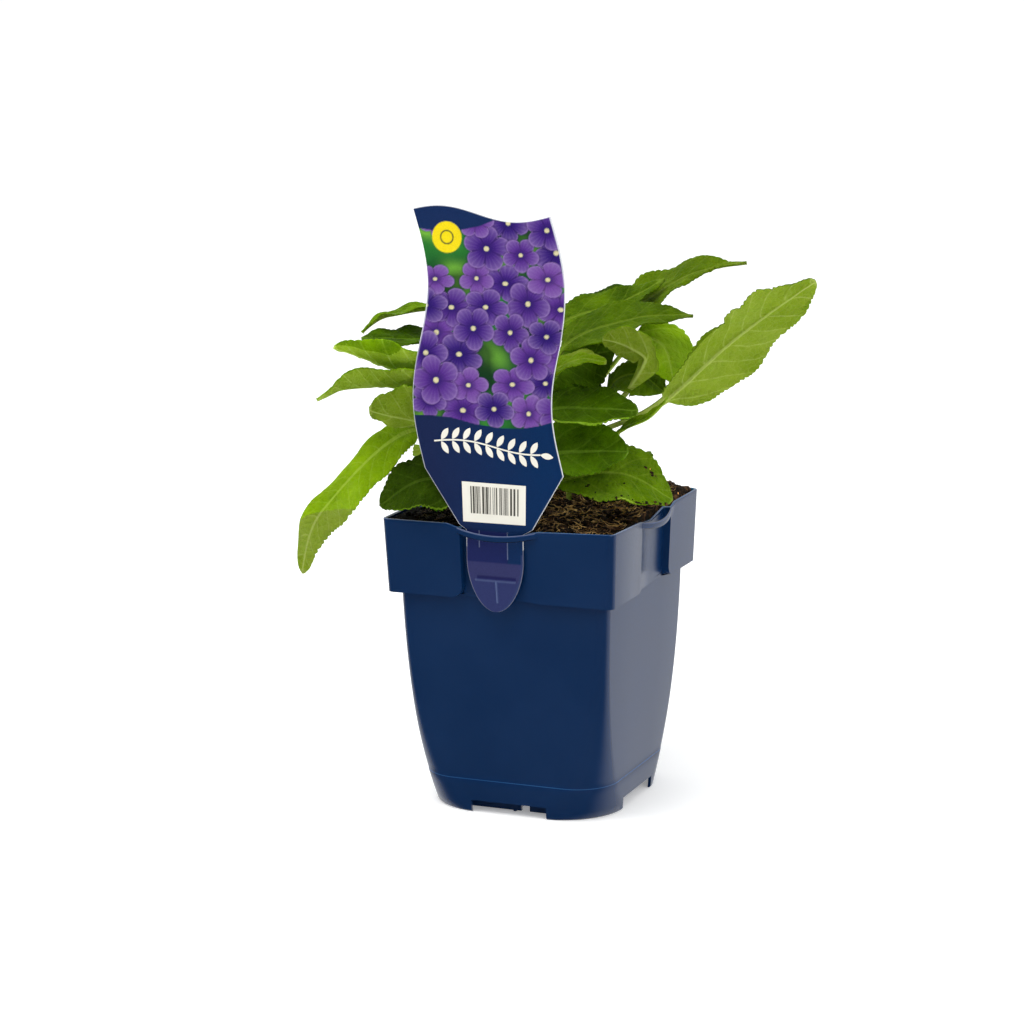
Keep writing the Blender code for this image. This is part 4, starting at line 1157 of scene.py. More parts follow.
def turned_over(rows, columns, strips, flipped):
    """Which faces of a rows by columns grid lie in a strip that is turned over, or on a flipped tip."""
    along = (np.arange(rows - 1) + 0.5 - STALK_RINGS) / (rows - STALK_RINGS - 1)
    across = (ACROSS[:-1] + ACROSS[1:]) / 2
    turned = np.zeros((rows - 1, columns - 1), bool)
    for sign, start, end, beyond in strips:
        ends = np.clip(np.minimum(along - start, end - along) / 0.08, 0, 1)
        turned |= (across[None] * sign > 1 - (1 - beyond) * ends[:, None]**0.5) & (ends[:, None] > 0)
    turned |= along[:, None] > flipped[0] + (flipped[1] - flipped[0]) * (across[None] + 1) / 2
    return turned.ravel()


def make_leaf(leaf, finishes):
    """One leaf as a closed mesh: its upper side has the first finish and its underside the second."""
    upper, lower, veins, ribs, flats = leaf_rows(leaf)
    rows, columns = veins.shape
    detail = DETAILS.get(leaf.name, Detail())
    points = np.concatenate([upper.reshape(-1, 3), lower.reshape(-1, 3)])
    count = rows * columns
    index = np.arange(count).reshape(rows, columns)
    top = grid_faces(index)
    under = top[:, [0, 3, 2, 1]] + count
    left = np.stack([index[:-1, 0], index[1:, 0], index[1:, 0] + count, index[:-1, 0] + count], -1)
    right = np.stack([index[1:, -1], index[:-1, -1], index[:-1, -1] + count, index[1:, -1] + count], -1)
    ends = [np.stack([r[:-1], r[:-1] + count, r[1:] + count, r[1:]], -1)[:, ::flip]
            for r, flip in ((index[0], 1), (index[-1], -1))]
    faces = np.concatenate([top, under, left, right, *ends])
    mesh = bpy.data.meshes.new(leaf.name)
    mesh.from_pydata(points.tolist(), [], faces.tolist())
    kinds = np.zeros(len(faces), np.int32)
    turned = turned_over(rows, columns, detail.turned, detail.flipped)
    kinds[:len(top)] = turned
    kinds[len(top):len(top) + len(under)] = ~turned
    mesh.polygons.foreach_set("material_index", kinds)
    tones = np.where(kinds == 1, detail.under, detail.upper)
    along_blade = np.clip((np.arange(rows - 1) - TONE_RINGS[0]) / TONE_RINGS[1], 0, 1)
    blade_share = np.tile(np.repeat(along_blade, columns - 1), 2)
    tones[:len(blade_share)] = STALK_TONE + (tones[:len(blade_share)] - STALK_TONE) * blade_share
    for name, domain, values in (("vein", "POINT", np.tile(veins.ravel(), 2)),
                                 ("rib", "POINT", np.tile(ribs.ravel(), 2)), ("tone", "FACE", tones)):
        mesh.attributes.new(name, "FLOAT", domain).data.foreach_set("value", values.astype(np.float32))
    flat_layer = mesh.uv_layers.new(name="flat_leaf")
    corners = np.zeros(len(mesh.loops), np.int32)
    mesh.loops.foreach_get("vertex_index", corners)
    flat_layer.data.foreach_set("uv", (np.tile(flats.reshape(-1, 2), (2, 1))[corners] * 100).ravel())
    mesh.shade_smooth()
    return set_piece(leaf.name.replace("leaf_", "blade_"), mesh, finishes, (leaf.name,))


print("a leaf's blade takes its own tone over", TONE_RINGS[1], "rings")

# %% [markdown]
# ## Living leaf
#
# A leaf's skin is a thin wax over green tissue: a soft sheen, and light that passes through and glows
# yellow green. Its upper side is deeper green with pale veins, and its underside is paler, duller and
# more strongly veined. Veins are drawn at their real widths: 1 to 3 mm at the midrib, 0.4 mm at the side
# veins, and two nets between them, with cells 2.4 mm and 0.8 mm across.

# %% The leaf's finishes
def leaf_skin(name, tissue, deep, vein_colour, roughness, vein_strength, net_strength, relief):
    """Living leaf between two greens, with midrib, side veins and net drawn from the flat leaf's map."""
    material, tree, shader = start_material(name, Roughness=roughness, IOR=1.42, Specular_IOR_Level=0.03,
                                            Subsurface_Weight=0.25, Subsurface_Radius=(0.5, 0.9, 0.1),
                                            Subsurface_Scale=0.0012)
    flat = add(tree, "UVMap", uv_map="flat_leaf")
    place = add(tree, "TexCoord").outputs["Object"]
    number = add(tree, "Attribute", attribute_name="vein")
    rib = add(tree, "Attribute", attribute_name="rib")
    tone = add(tree, "Attribute", attribute_name="tone")
    # distance from the nearest side vein, as a share of their spacing
    nearest = add(tree, "Math", (number.outputs["Fac"], 0.5), operation="PINGPONG")
    side_vein = add(tree, "MapRange", (nearest, 0.0, 0.075, 1.0, 0.0), interpolation_type="SMOOTHSTEP")
    midrib = add(tree, "MapRange", (rib.outputs["Fac"], 0.45, 0.8), interpolation_type="SMOOTHSTEP")
    # the flat map counts in hundredths of a metre, so a scale of 5 makes cells 2 mm wide
    bent = add(tree, "TexNoise", {"Vector": flat, "Scale": 7.0, "Detail": 2.0})
    warped = add(tree, "MixRGB", (0.1, flat, bent.outputs["Color"]))
    cells = add(tree, "TexVoronoi", {"Vector": warped, "Scale": 4.2}, feature="DISTANCE_TO_EDGE")
    net = add(tree, "MapRange", (cells, 0.0, 0.07, 1.0, 0.0))
    small = add(tree, "TexVoronoi", {"Vector": warped, "Scale": 12.0}, feature="DISTANCE_TO_EDGE")
    small_net = add(tree, "MapRange", (small, 0.0, 0.12, 0.5, 0.0))
    both_nets = add(tree, "Math", (net, small_net), operation="MAXIMUM")
    patches = add(tree, "TexNoise", {"Vector": place, "Scale": 60.0, "Detail": 5.0, "Roughness": 0.65})
    blend = add(tree, "MapRange", (patches, 0.32, 0.66))
    green = add(tree, "MixRGB", (blend, linear(tissue), linear(deep)))
    # a thin grey bloom of wax lies on parts of the leaf, and has rubbed off elsewhere
    rubbed = add(tree, "TexNoise", {"Vector": place, "Scale": 42.0, "Detail": 3.0, "Roughness": 0.6})
    bloom = add(tree, "MapRange", (rubbed, 0.48, 0.75, 0.0, 0.24))
    bloomed = add(tree, "MixRGB", (bloom, green, linear(vein_colour)))
    faint = add(tree, "Math", (both_nets, net_strength), operation="MULTIPLY")
    netted = add(tree, "MixRGB", (faint, bloomed, linear(vein_colour)))
    # side veins are clear near the midrib and fade out and break up towards the margin
    broken = add(tree, "TexNoise", {"Vector": flat, "Scale": 3.0, "Detail": 1.0})
    shown = add(tree, "MapRange", (broken, 0.2, 0.55))
    clear = add(tree, "Math", (side_vein, shown), operation="MULTIPLY")
    clearer = add(tree, "Math", (clear, vein_strength), operation="MULTIPLY")
    veined = add(tree, "MixRGB", (clearer, netted, linear(vein_colour)))
    strong = add(tree, "Math", (midrib, min(1.0, vein_strength + 0.3)), operation="MULTIPLY")
    ribbed = add(tree, "MixRGB", (strong, veined, linear(vein_colour)))
    toned = add(tree, "MixRGB", (1.0, ribbed, tone.outputs["Fac"]), blend_type="MULTIPLY")
    spots = add(tree, "TexVoronoi", {"Vector": flat, "Scale": 2.2})
    near_spot = add(tree, "MapRange", (spots.outputs["Distance"], 0.05, 0.09, 1.0, 0.0))
    few = add(tree, "Math", (spots.outputs["Color"], 0.84), operation="GREATER_THAN")
    spotted = add(tree, "Math", (near_spot, few), operation="MULTIPLY")
    colour = add(tree, "MixRGB", (spotted, toned, linear("#4a3d12")))
    cushions = add(tree, "MapRange", (cells, 0.0, 0.3))
    little = add(tree, "MapRange", (small, 0.0, 0.3, 0.0, 0.3))
    both = add(tree, "Math", (cushions, little), operation="ADD")
    grain = add(tree, "TexNoise", {"Vector": place, "Scale": 1600.0, "Detail": 2.0})
    height = add(tree, "Math", (grain, 0.18, both), operation="MULTIPLY_ADD")
    bump = add(tree, "Bump", {"Height": height, "Strength": 0.6, "Distance": relief})
    link(tree, shader, Base_Color=colour, Normal=bump)
    return material


# the greens are partly each leaf's own and partly painted light and shade: the bright pair for leaves that
# lie in full light, the dark pair for leaves that lie in shade
LEAF_FINISHES = {
    "bright": (leaf_skin("young_leaf_upper_side", "#8bb00a", "#678a00", "#a4bf45", 0.55, 0.34, 0.16, 0.0006),
               leaf_skin("young_leaf_underside", "#93ac2e", "#7f9d1a", "#b7c865", 0.65, 0.5, 0.26, 0.0006)),
    "mid": (leaf_skin("grown_leaf_upper_side", "#6f9300", "#456500", "#8fac35", 0.55, 0.34, 0.16, 0.0006),
            leaf_skin("grown_leaf_underside", "#7f9922", "#6a8510", "#a3b657", 0.65, 0.45, 0.24, 0.0006)),
    "dark": (leaf_skin("shaded_leaf_upper_side", "#486900", "#284100", "#678726", 0.55, 0.3, 0.14, 0.0006),
             leaf_skin("shaded_leaf_underside", "#5d7a14", "#4c680a", "#869f3e", 0.65, 0.45, 0.28, 0.0005)),
}
blades = [make_leaf(leaf, LEAF_FINISHES[leaf.green]) for leaf in LEAVES]
print(len(blades), "leaves with", sum(len(blade.data.polygons) for blade in blades) * 2, "triangles")

# %% [markdown]
# The leaf that rests on the rim has picked up crumbs of peat: a small heap near its tip, and a loose line
# along its lower margin. They sit on points of the leaf's own upper side, so they touch it.

# %% Peat on the resting leaf
BIT_SIZES = (0.0002, 0.0007)
# each spot is given as its place along, its place across, its spread and its count
BIT_SPOTS = ((0.76, -0.5, 0.03, 14), (0.8, 0.95, 0.08, 22), (0.45, 0.85, 0.2, 8), (0.3, 0.3, 0.2, 5))


def make_bits(leaf, material):
    """Small crumbs on a leaf's upper side."""
    chance = random.Random(3)
    upper = leaf_rows(leaf)[0]
    places, sizes = [], []
    for along, across, spread, count in BIT_SPOTS:
        for _ in range(count):
            share = min(0.97, max(0.03, chance.gauss(along, spread)))
            wanted = min(0.97, max(-0.97, chance.gauss(across, spread)))
            row = STALK_RINGS + round(share * (len(upper) - STALK_RINGS - 1))
            places.append(upper[row, int(np.argmin(np.abs(ACROSS - wanted)))])
            sizes.append(BIT_SIZES[0] + BIT_SIZES[1] * chance.random()**2)
    mesh = crumb_mesh("peat_bits_on_leaf", places, sizes, chance)
    return set_piece("peat_bits_on_leaf", mesh, (material,))


resting = next(leaf for leaf in LEAVES if leaf.name == "leaf_right_resting")
bits = make_bits(resting, crumb_finish)
print("peat bits on the resting leaf with", len(bits.data.polygons), "faces")

# %% [markdown]
# ## The label: its shape
#
# The label is stamped from printed plastic sheet 0.7 mm thick. Its sides are gentle waves, its shoulders
# slope in to a neck, and a rounded tongue goes down behind the strap. The front is a fine grid of points
# whose outer columns follow the stamped outline, because the print is painted onto those points.

# %% The label's outline
LABEL_THICKNESS = 0.0007
LABEL_Y = -0.0534
LABEL_HALF_WIDTH = 0.0326
LABEL_TOP = 0.270
LABEL_SHOULDER = 0.158
LABEL_CENTRE = -0.0022
LABEL_SIDE_CREST = 0.240
LABEL_SIDE_SWING = 0.0041
LABEL_SIDE_PERIOD = 0.104
LABEL_BEND = 0.215
LABEL_LEAN = 0.036
LABEL_TAPER = 0.0008
LABEL_TOP_CREST = -0.0245
LABEL_TOP_SWING = 0.0031
LABEL_TOP_PERIOD = 0.069
NECK_RIGHT = ((0.0124, 0.1310), (0.0168, 0.1334))
NECK_LEFT = ((-0.0144, 0.1316), (-0.0178, 0.1338))
TONGUE_CENTRE = -0.001
TONGUE_HALF_WIDTH = 0.0134
TONGUE_SHOULDER = 0.118
TONGUE_TIP = 0.0956
TONGUE_FULLNESS = 1.7
TONGUE_ROWS = 40
TONGUE_ROWS_REACH = 0.0225
PRINT_STEP = 0.00042


def label_side(z):
    """How far the label's wavy middle line lies to the right at a height."""
    turns = (z - LABEL_SIDE_CREST) / LABEL_SIDE_PERIOD
    lean = LABEL_LEAN * max(0.0, z - LABEL_BEND)
    return LABEL_CENTRE + LABEL_SIDE_SWING * math.cos(math.tau * turns) - lean


def label_half(z):
    """Half the label's width at a height: a little less near its top."""
    return LABEL_HALF_WIDTH - min(LABEL_TAPER, LABEL_LEAN * max(0.0, z - LABEL_BEND))


def label_top(x):
    """The height of the label's wavy top edge."""
    turns = (x - LABEL_TOP_CREST) / LABEL_TOP_PERIOD
    return LABEL_TOP + LABEL_TOP_SWING * math.cos(math.tau * turns)


def label_edge(z, sign):
    """The stamped edge at a height, on the right for 1 and on the left for -1."""
    if z >= LABEL_SHOULDER:
        return label_side(z) + sign * label_half(z)
    if z <= TONGUE_SHOULDER:
        drop = min(1.0, (TONGUE_SHOULDER - z) / (TONGUE_SHOULDER - TONGUE_TIP))
        return TONGUE_CENTRE + sign * TONGUE_HALF_WIDTH * math.sqrt(max(0.0, 1 - drop**TONGUE_FULLNESS))
    neck = NECK_RIGHT if sign > 0 else NECK_LEFT
    corner = (label_side(LABEL_SHOULDER) + sign * label_half(LABEL_SHOULDER), LABEL_SHOULDER)
    points = [(TONGUE_CENTRE + sign * TONGUE_HALF_WIDTH, TONGUE_SHOULDER), *neck, corner]
    return float(np.interp(z, [p[1] for p in points], [p[0] for p in points]))


def label_grid():
    """The across and up places of the label's points, row by row from its tip to its top."""
    columns = np.linspace(0, 1, round(2 * LABEL_HALF_WIDTH / PRINT_STEP) + 1)

    def across(z):
        left, right = label_edge(z, -1), label_edge(z, 1)
        return left + (right - left) * columns

    heights = [TONGUE_TIP + TONGUE_ROWS_REACH * (1 - math.cos(math.pi / 2 * step / TONGUE_ROWS))
               for step in range(TONGUE_ROWS)]
    heights += list(np.arange(TONGUE_SHOULDER, LABEL_SHOULDER, PRINT_STEP))
    rows = [np.stack([across(z), np.full(len(columns), z)], 1) for z in heights]
    count = round((LABEL_TOP - LABEL_SHOULDER) / PRINT_STEP)
    for step in range(count + 1):
        places = across(LABEL_SHOULDER + (LABEL_TOP - LABEL_SHOULDER) * step / count)
        up = [LABEL_SHOULDER + (label_top(x) - LABEL_SHOULDER) * step / count for x in places]
        rows.append(np.stack([places, up], 1))
    return np.array(rows)


label_points = label_grid()
print("the label's grid is", label_points.shape[1], "points across and", label_points.shape[0], "up")

# %% [markdown]
# ## The label: its print
#
# The print is drawn by numbers, like the layers of a screen print: a soft green garden, then a bed of
# plain round violet flowers from back to front, then navy waves above and below them, and a yellow disc.
# Each layer is a shape that fades over a third of a millimetre at its edge, as ink does.

# %% The print's layers
INK_EDGE = 0.00032
NAVY_LOW = "#16244b"
NAVY_RIGHT = "#022955"
VIOLETS = ("#48228a", "#5a2c94", "#3a1b80", "#6a3a9f", "#4f268c", "#7444a4")
# each layer of the garden: its shift, its patches' size, how sharply they end, how strong it is, its green
GARDEN = ((0.4, 0.05, 1.3, 1.0, "#2f8a34"), (2.1, 0.034, 3, 1.0, "#7cc63f"), (3.3, 0.042, 3, 0.8, "#0d2b1c"))
FLOWER_ROWS = 8
FLOWER_COLUMNS = 5
FLOWER_START = (-0.034, 0.186)
FLOWER_PITCH = (0.0165, 0.0112)
FLOWER_ROW_SHIFT = 0.008
FLOWER_RADII = (0.0082, 0.0118)
FLOWER_TILTS = (0.72, 1.0)
FLOWER_JITTER = (0.003, 0.002)
FLOWERS_LEFT_OUT = 0.12
PETALS = 5
PETAL_RIBS = 25
LOWER_WAVE = ((-0.0386, 0.1810), (-0.0309, 0.1814), (-0.0214, 0.1811), (-0.0096, 0.1787), (0.0022, 0.1776),
              (0.0115, 0.1777), (0.0208, 0.1796), (0.0269, 0.1816))
UPPER_WAVE = ((-0.0345, 0.2629), (-0.0246, 0.2620), (-0.0152, 0.2627), (-0.0059, 0.2648), (0.0021, 0.2680),
              (0.0035, 0.2800))
SUN_PLACE = (-0.0214, 0.2595)
SUN_RADIUS = 0.0069
SUN_RING = 0.42
SUN_TALLNESS = 0.98
NECK_SHADE_TOP = 0.1315
TONGUE_PRINT_END = 0.1174
HOLDER_SHADE_TOP = TONGUE_SHOULDER + 0.006
T_BAR_ENDS = (-0.0106, 0.0088)
T_BAR_HEIGHT = 0.1093
T_STEM_ENDS = (0.0998, 0.1091)
T_STEM_PLACE = -0.0006
T_STEM_LEAN = 0.06
T_LINE, T_STEM_LINE, SCORE_LINE = 0.00028, 0.0004, 0.0002
SCORES = ((-0.0083, 0.1240, 0.1316), (0.0050, 0.1195, 0.1316))


def cover(inside):
    """How much ink lies where a shape's inner distance is this much: none outside, full inside."""
    return np.clip(inside / INK_EDGE + 0.5, 0, 1)


def ink(code):
    """An ink's red, green and blue in linear light."""
    return np.array(linear(code)[:3])


def lay(colours, amount, tone):
    """Lay an ink over the colours so far. A tone is one ink's code, or red, green and blue at every point."""
    tone = ink(tone) if isinstance(tone, str) else tone
    colours += (tone - colours) * np.clip(amount, 0, 1)[..., None]


def waves(x, z, shift, size):
    """Smooth patches between 0 and 1, for a garden out of focus."""
    total = np.zeros_like(x)
    for k, (a, b) in enumerate(((1.0, 0.3), (-0.6, 1.1), (0.5, -0.9), (1.3, 0.8), (-0.2, 1.7))):
        total += np.sin((a * x + b * z) / size * math.tau + shift * (k + 1) * 1.7)
    return np.clip(0.5 + total / 5, 0, 1)


def draw_flower(colours, x, z, centre, radius, turn, tilt, violet):
    """A plain round five-petalled flower, with a dark throat, pale ribs and a cream eye."""
    dx, dz = x - centre[0], (z - centre[1]) / tilt
    distance, angle = np.hypot(dx, dz), np.arctan2(dz, dx) - turn
    petal = np.abs(np.cos(PETALS / 2 * angle))
    border = radius * (0.66 + 0.34 * petal**0.7)
    share = distance / radius
    amount = cover(border - distance)
    shadow = np.clip(1 - (distance - border) / (0.12 * radius), 0, 1) * 0.45 * (distance > border)
    lay(colours, shadow, "#1b0f45")
    base, pale, throat = ink(violet), ink("#a585c6"), ink("#1f1263")
    light = np.clip(share - 0.35, 0, 1)**1.5 * 0.9
    ribs = 0.16 * np.clip(np.cos(PETAL_RIBS * angle), 0, 1) * np.clip(share, 0, 1)
    tone = base + (pale - base) * np.clip(light + ribs, 0, 1)[..., None]
    tone = tone + (throat - tone) * np.clip(1 - share * 2.2, 0, 1)[..., None]
    fold = np.clip(1 - petal * 3.2, 0, 1) * np.clip(share * 1.6, 0, 1)
    tone = tone * (1 - 0.55 * fold[..., None])
    rim = np.clip(1 - np.abs(border - distance - 0.0004) / 0.0004, 0, 1) * 0.5
    tone = tone + (pale - tone) * rim[..., None]
    lay(colours, amount, tone)
    lay(colours, cover(radius * 0.11 - distance), "#e9dfae")


def tongue_marks(x, z):
    """Where the tongue's raised T and its scored lines run, each from 0 to 1."""
    def between(values, ends):
        return (values > ends[0]) & (values < ends[1])

    def line(off, width):
        return np.exp(-(off / width)**2)

    bar = line(z - T_BAR_HEIGHT, T_LINE) * between(x, T_BAR_ENDS)
    off_stem = x - T_STEM_PLACE + T_STEM_LEAN * (z - T_STEM_ENDS[1])
    stem = line(off_stem, T_STEM_LINE) * between(z, T_STEM_ENDS)
    scores = sum(line(x - place, SCORE_LINE) * between(z, ends) for place, *ends in SCORES)
    return bar, stem, scores


def paint_garden(colours, x, z):
    """Greens out of focus, and a bed of violet flowers before them."""
    colours[:] = ink("#14492a")
    for shift, size, power, strength, green in GARDEN:
        lay(colours, waves(x, z, shift, size)**power * strength, green)
    chance = random.Random(23)
    spots = []
    for row in range(FLOWER_ROWS):
        for column in range(FLOWER_COLUMNS):
            even = (FLOWER_PITCH[0] * column + FLOWER_ROW_SHIFT * (row % 2), FLOWER_PITCH[1] * row)
            spots.append([start + shift + chance.uniform(-jitter, jitter)
                          for start, shift, jitter in zip(FLOWER_START, even, FLOWER_JITTER)])
    chance.shuffle(spots)
    for number, spot in enumerate(spots):
        if chance.random() < FLOWERS_LEFT_OUT:
            continue
        draw_flower(colours, x, z, spot, chance.uniform(*FLOWER_RADII), chance.uniform(0, math.tau),
                    chance.uniform(*FLOWER_TILTS), VIOLETS[number % len(VIOLETS)])
    colours *= 0.78


def paint_waves(colours, x, z):
    """Navy below and above the flowers, with wavy borders, and the yellow disc over them."""
    right_side = np.clip((x + 0.03) / 0.05, 0, 1)[..., None]
    navy = ink(NAVY_LOW) * (1 - right_side) + ink(NAVY_RIGHT) * right_side
    lay(colours, cover(np.interp(x, *zip(*LOWER_WAVE)) - z), navy)
    lay(colours, cover(z - np.interp(x, *zip(*UPPER_WAVE))), "#132a55")
    disc = np.hypot(x - SUN_PLACE[0], (z - SUN_PLACE[1]) / SUN_TALLNESS)
    lay(colours, cover(SUN_RADIUS - disc), "#e9d204")
    lay(colours, cover(0.0003 - np.abs(disc - SUN_RADIUS * SUN_RING)), "#2b3a2a")


def paint_tongue(colours, x, z):
    """Navy of neck and tongue, partly own colour and partly painted shade; pale lines on the T and scores."""
    # painted shade on the neck's left side below the strap, and the tongue's navy partly painted shade in the
    # holder
    lay(colours, cover(NECK_SHADE_TOP - z) * cover(0.005 - x) * 0.6, "#1f1f58")
    lay(colours, cover(TONGUE_PRINT_END - z), "#30335f")
    band = cover(T_BAR_HEIGHT + 0.0024 - z) * cover(x - T_BAR_ENDS[0] - 0.001) * cover(T_BAR_ENDS[1] - x)
    lay(colours, band * 0.8, "#181a4c")
    lay(colours, cover(T_BAR_HEIGHT + 0.0001 - z), "#2b3361")
    bar, stem, scores = tongue_marks(x, z)
    lay(colours, 0.55 * np.maximum(bar, stem), "#6577a3")
    lay(colours, 0.5 * scores, "#8a96b4")


def paint_margins(colours, x, z):
    """A dark margin at the right of the neck, and the thin pale line of the stamped edge."""
    left, right = [np.array([[label_edge(row[0], sign)] for row in z]) for sign in (-1, 1)]
    margin = np.minimum(x - left, right - x)
    bare = (z < TONGUE_SHOULDER + 0.004) & (x > 0)
    lay(colours, cover(0.0012 - margin) * bare * 0.7, "#2d3a63")
    to_top = np.array([[label_top(place) for place in row] for row in x]) - z
    # painted shade: the pale edge line is faint where the label stands in the holder
    strength = np.where(z < HOLDER_SHADE_TOP, 0.2, 0.8)
    lay(colours, cover(0.0002 - np.minimum(margin, to_top)) * strength, "#e6e9ee")


def paint_label():
    """The colours of the label's front, point by point."""
    x, z = label_points[..., 0], label_points[..., 1]
    colours = np.empty((*x.shape, 3))
    for paint in (paint_garden, paint_waves, paint_tongue, paint_margins):
        paint(colours, x, z)
    return colours


label_colours = paint_label()
print("the print has", label_colours.shape[0] * label_colours.shape[1], "painted points")

# %% [markdown]
# The tongue has a T of raised plastic that keeps it stiff, and two scored lines to fold it on. They are
# pushed out of the same grid. The sheet is white inside, so its stamped edge shows as a pale line.

# %% The label's mesh
T_RELIEF = 0.0005
SCORE_RELIEF = 0.0002
LABEL_FRONT, LABEL_EDGE, LABEL_BACK, LABEL_SHADED_EDGE = range(4)


def label_relief(x, z):
    """How far the T and the scored lines stand out of the sheet."""
    bar, stem, scores = tongue_marks(x, z)
    return T_RELIEF * np.maximum(bar, stem) + SCORE_RELIEF * scores


def make_label(finishes):
    """The label: a painted front, a white stamped edge, a plain back, and the edge's shaded lower part."""
    x, z = label_points[..., 0], label_points[..., 1]
    rows, columns = x.shape
    front_y = LABEL_Y - LABEL_THICKNESS / 2 - label_relief(x, z)
    front = np.stack([x, front_y, z], -1).reshape(-1, 3)
    index = np.arange(rows * columns).reshape(rows, columns)
    faces = grid_faces(index)
    border = np.concatenate([index[:, -1], index[-1, -2::-1], index[-2:0:-1, 0], index[0, :-1]])
    rim = front[border].copy()
    rim[:, 1] = LABEL_Y - LABEL_THICKNESS / 2
    back = rim.copy()
    back[:, 1] = LABEL_Y + LABEL_THICKNESS / 2
    around = len(front) + np.arange(len(border))
    after, behind = np.roll(around, -1), len(border)
    edge = np.stack([around, around + behind, after + behind, after], -1)
    polygons = faces.tolist() + edge.tolist() + [(around + behind)[::-1].tolist()]
    mesh = bpy.data.meshes.new("label_sheet")
    mesh.from_pydata(np.concatenate([front, rim, back]).tolist(), [], polygons)
    kinds = np.full(len(polygons), LABEL_FRONT, np.int32)
    kinds[len(faces):-1] = np.where(rim[:, 2] < HOLDER_SHADE_TOP, LABEL_SHADED_EDGE, LABEL_EDGE)
    kinds[-1] = LABEL_BACK
    mesh.polygons.foreach_set("material_index", kinds)
    painted = np.ones((len(mesh.vertices), 4), np.float32)
    painted[:len(front), :3] = label_colours.reshape(-1, 3)
    mesh.color_attributes.new("print", "FLOAT_COLOR", "POINT").data.foreach_set("color", painted.ravel())
    mesh.polygons.foreach_set("use_smooth", kinds == LABEL_FRONT)
    return set_piece("label_sheet", mesh, finishes, ("label",))


def printed_sheet(name):
    """Offset print under a thin gloss varnish: crisp colour, and a faint orange peel in its shine."""
    material, tree, shader = start_material(name, Roughness=0.22, IOR=1.5)
    colour = add(tree, "Attribute", attribute_name="print")
    place = add(tree, "TexCoord").outputs["Object"]
    # a print screen of 0.15 mm dots is too fine to show, so its grain is drawn at 0.4 mm
    dots = add(tree, "TexNoise", {"Vector": place, "Scale": 2500.0, "Detail": 1.0})
    tone = add(tree, "MapRange", (dots, 0.3, 0.7, 0.93, 1.07))
    inked = add(tree, "MixRGB", (1.0, colour.outputs["Color"], tone), blend_type="MULTIPLY")
    peel = add(tree, "TexNoise", {"Vector": place, "Scale": 420.0, "Detail": 1.0})
    bump = add(tree, "Bump", {"Height": peel, "Strength": 0.05, "Distance": 0.0002})
    link(tree, shader, Base_Color=inked, Normal=bump)
    return material


def plain_sheet(name, light, dark, roughness):
    """Bare plastic sheet with faint clouds in its whiteness."""
    material, tree, shader = start_material(name, Roughness=roughness, IOR=1.5)
    place = add(tree, "TexCoord").outputs["Object"]
    cloud = add(tree, "TexNoise", {"Vector": place, "Scale": 60.0, "Detail": 3.0})
    colour = add(tree, "MixRGB", (cloud, linear(light), linear(dark)))
    link(tree, shader, Base_Color=colour)
    return material


white_edge = plain_sheet("stamped_edge_of_white_sheet", "#f4f5f2", "#d9dcdc", 0.5)
white_back = plain_sheet("bare_white_sheet", "#eef0ee", "#e2e5e4", 0.35)
# painted shade: the stamped white edge is painted grey blue where it stands in the holder
shaded_edge = plain_sheet("tongue_edge_in_the_holder", "#4c5878", "#3c4869", 0.5)
label = make_label((printed_sheet("offset_printed_sheet"), white_edge, white_back, shaded_edge))
print("the label has", len(label.data.polygons), "faces")

# %% [markdown]
# The panel for a till's scanner has bars thinner than the grid, so it is made of flat shapes a few
# hundredths of a millimetre thick, as a layer of ink. Its bars are random and say nothing. The large
# plain space above it carries a small sprig, drawn in white in the same way.

# %% White panel, bars and sprig
PANEL = ((-0.0162, 0.1530), (0.0140, 0.1528), (0.01365, 0.1353), (-0.0158, 0.1352))
PANEL_INK, BAR_INK, SPRIG_INK = 0.00004, 0.00008, 0.00005
BARS_ACROSS = (0.13, 0.87)
BARS_UP = (0.22, 0.90)
BAR_WIDTHS = (0.010, 0.010, 0.020, 0.030)
BAR_GAPS = (0.010, 0.016, 0.022, 0.030)
SPRIG_START = (-0.029, 0.1702)
SPRIG_RUN = (0.050, -0.0022)
SPRIG_SWAY = 0.0016
SPRIG_PAIRS = 9
SPRIG_FIRST_PAIR, SPRIG_PAIR_PITCH = 0.06, 0.105
SPRIG_SPREAD = math.radians(58)
SPRIG_LEAF = (0.0062, 0.0027)
SPRIG_END_LEAF = (0.006, 0.0027)
SPRIG_STEM_HALF = 0.00035
STEM_PARTS = 40
OVAL_POINTS = 24


def ink_shapes(name, outlines, thickness, finish):
    """Flat closed shapes of ink on the label's front."""
    bm = bmesh.new()
    y = LABEL_Y - LABEL_THICKNESS / 2 - thickness
    for points in outlines:
        bm.faces.new([bm.verts.new((x, y, z)) for x, z in points])
    bmesh.ops.triangulate(bm, faces=bm.faces)
    return set_piece(name, to_mesh(bm, name, smooth=False), (finish,))


def panel_corners(left, right, low, high):
    """The corners of a box inside the slightly skewed panel, as shares of its width and height."""
    top_left, top_right, low_right, low_left = [Vector(p) for p in PANEL]
    return [tuple(low_left.lerp(low_right, across).lerp(top_left.lerp(top_right, across), up))
            for across, up in ((left, low), (right, low), (right, high), (left, high))]


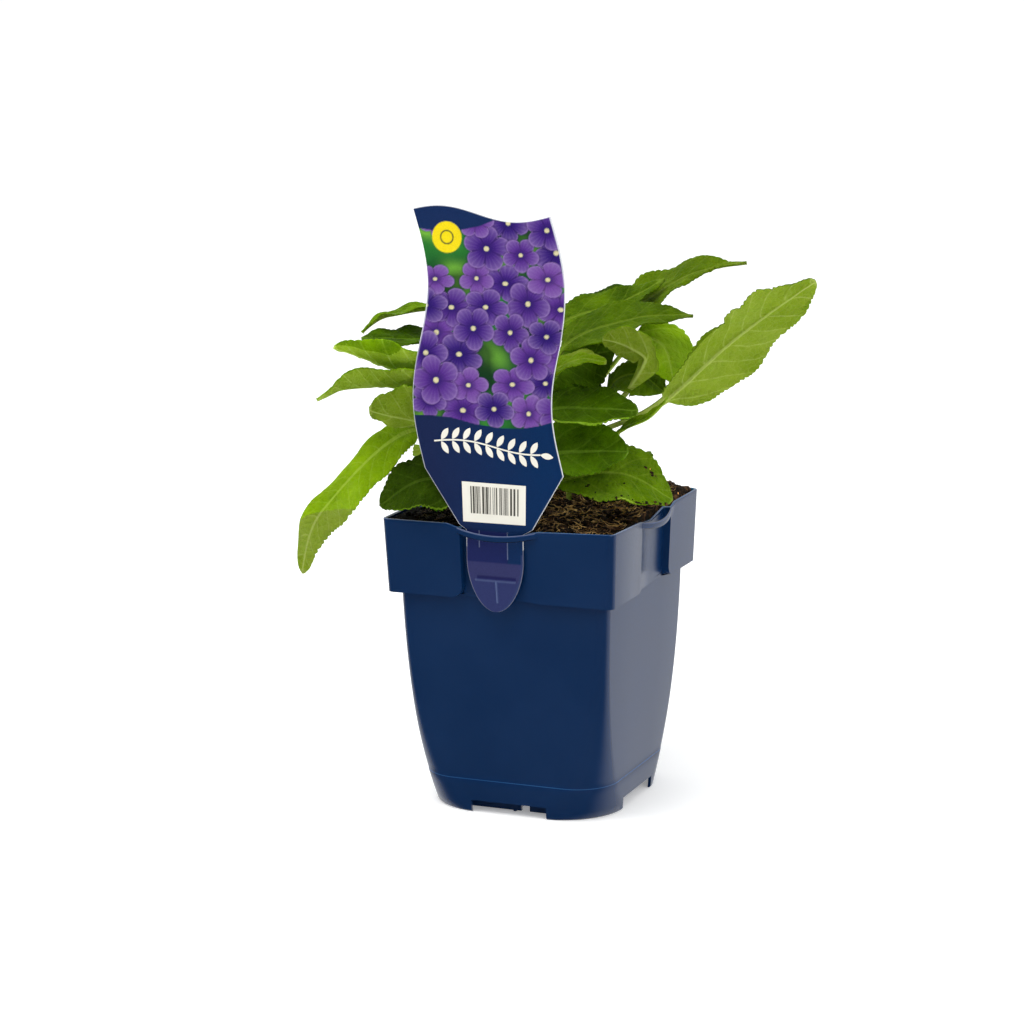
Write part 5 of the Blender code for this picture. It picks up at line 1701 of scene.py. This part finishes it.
def bar_shapes():
    """Random upright bars between two plain ends."""
    chance = random.Random(7)
    bars, across = [], BARS_ACROSS[0]
    while across < BARS_ACROSS[1]:
        width = chance.choice(BAR_WIDTHS)
        bars.append(panel_corners(across, across + width, *BARS_UP))
        across += width + chance.choice(BAR_GAPS)
    return bars


def leaf_shape(place, heading, length, width):
    """A small pointed oval, as a list of points."""
    points = []
    for step in range(OVAL_POINTS):
        share = step / OVAL_POINTS * 2
        along, side = (share, 1) if share < 1 else (2 - share, -1)
        bulge = math.sin(math.pi * along)**0.8 * width / 2 * side
        points.append((place[0] + math.cos(heading) * along * length - math.sin(heading) * bulge,
                       place[1] + math.sin(heading) * along * length + math.cos(heading) * bulge))
    return points


def sprig_shapes():
    """A level stem in a slow wave with pairs of leaves, and one at its end."""
    def stem(share):
        x, z = (start + run * share for start, run in zip(SPRIG_START, SPRIG_RUN))
        return Vector((x, z + SPRIG_SWAY * math.sin(share * 5.5)))

    up = Vector((0, SPRIG_STEM_HALF))
    upper = [stem(k / STEM_PARTS) + up for k in range(STEM_PARTS + 1)]
    lower = [stem(k / STEM_PARTS) - up for k in range(STEM_PARTS + 1)]
    shapes = [[tuple(p) for p in upper + lower[::-1]]]
    for pair in range(SPRIG_PAIRS):
        for sign in (-1, 1):
            foot = stem(SPRIG_FIRST_PAIR + pair * SPRIG_PAIR_PITCH) + Vector((0.0004, sign * 0.0004))
            shapes.append(leaf_shape(foot, sign * SPRIG_SPREAD, *SPRIG_LEAF))
    shapes.append(leaf_shape(stem(1.0), math.radians(-8), *SPRIG_END_LEAF))
    return shapes


white_ink = plain_sheet("white_ink", "#ece9dd", "#e2dfd2", 0.3)
black_ink = plain_sheet("black_ink", "#3a372f", "#55524a", 0.35)
ink_shapes("scanner_panel", [panel_corners(0, 1, 0, 1)], PANEL_INK, white_ink)
bars = ink_shapes("scanner_bars", bar_shapes(), BAR_INK, black_ink)
sprig = ink_shapes("printed_sprig", sprig_shapes(), SPRIG_INK, white_ink)
print(len(bars.data.polygons), "triangles of bars and", len(sprig.data.polygons), "of sprig")
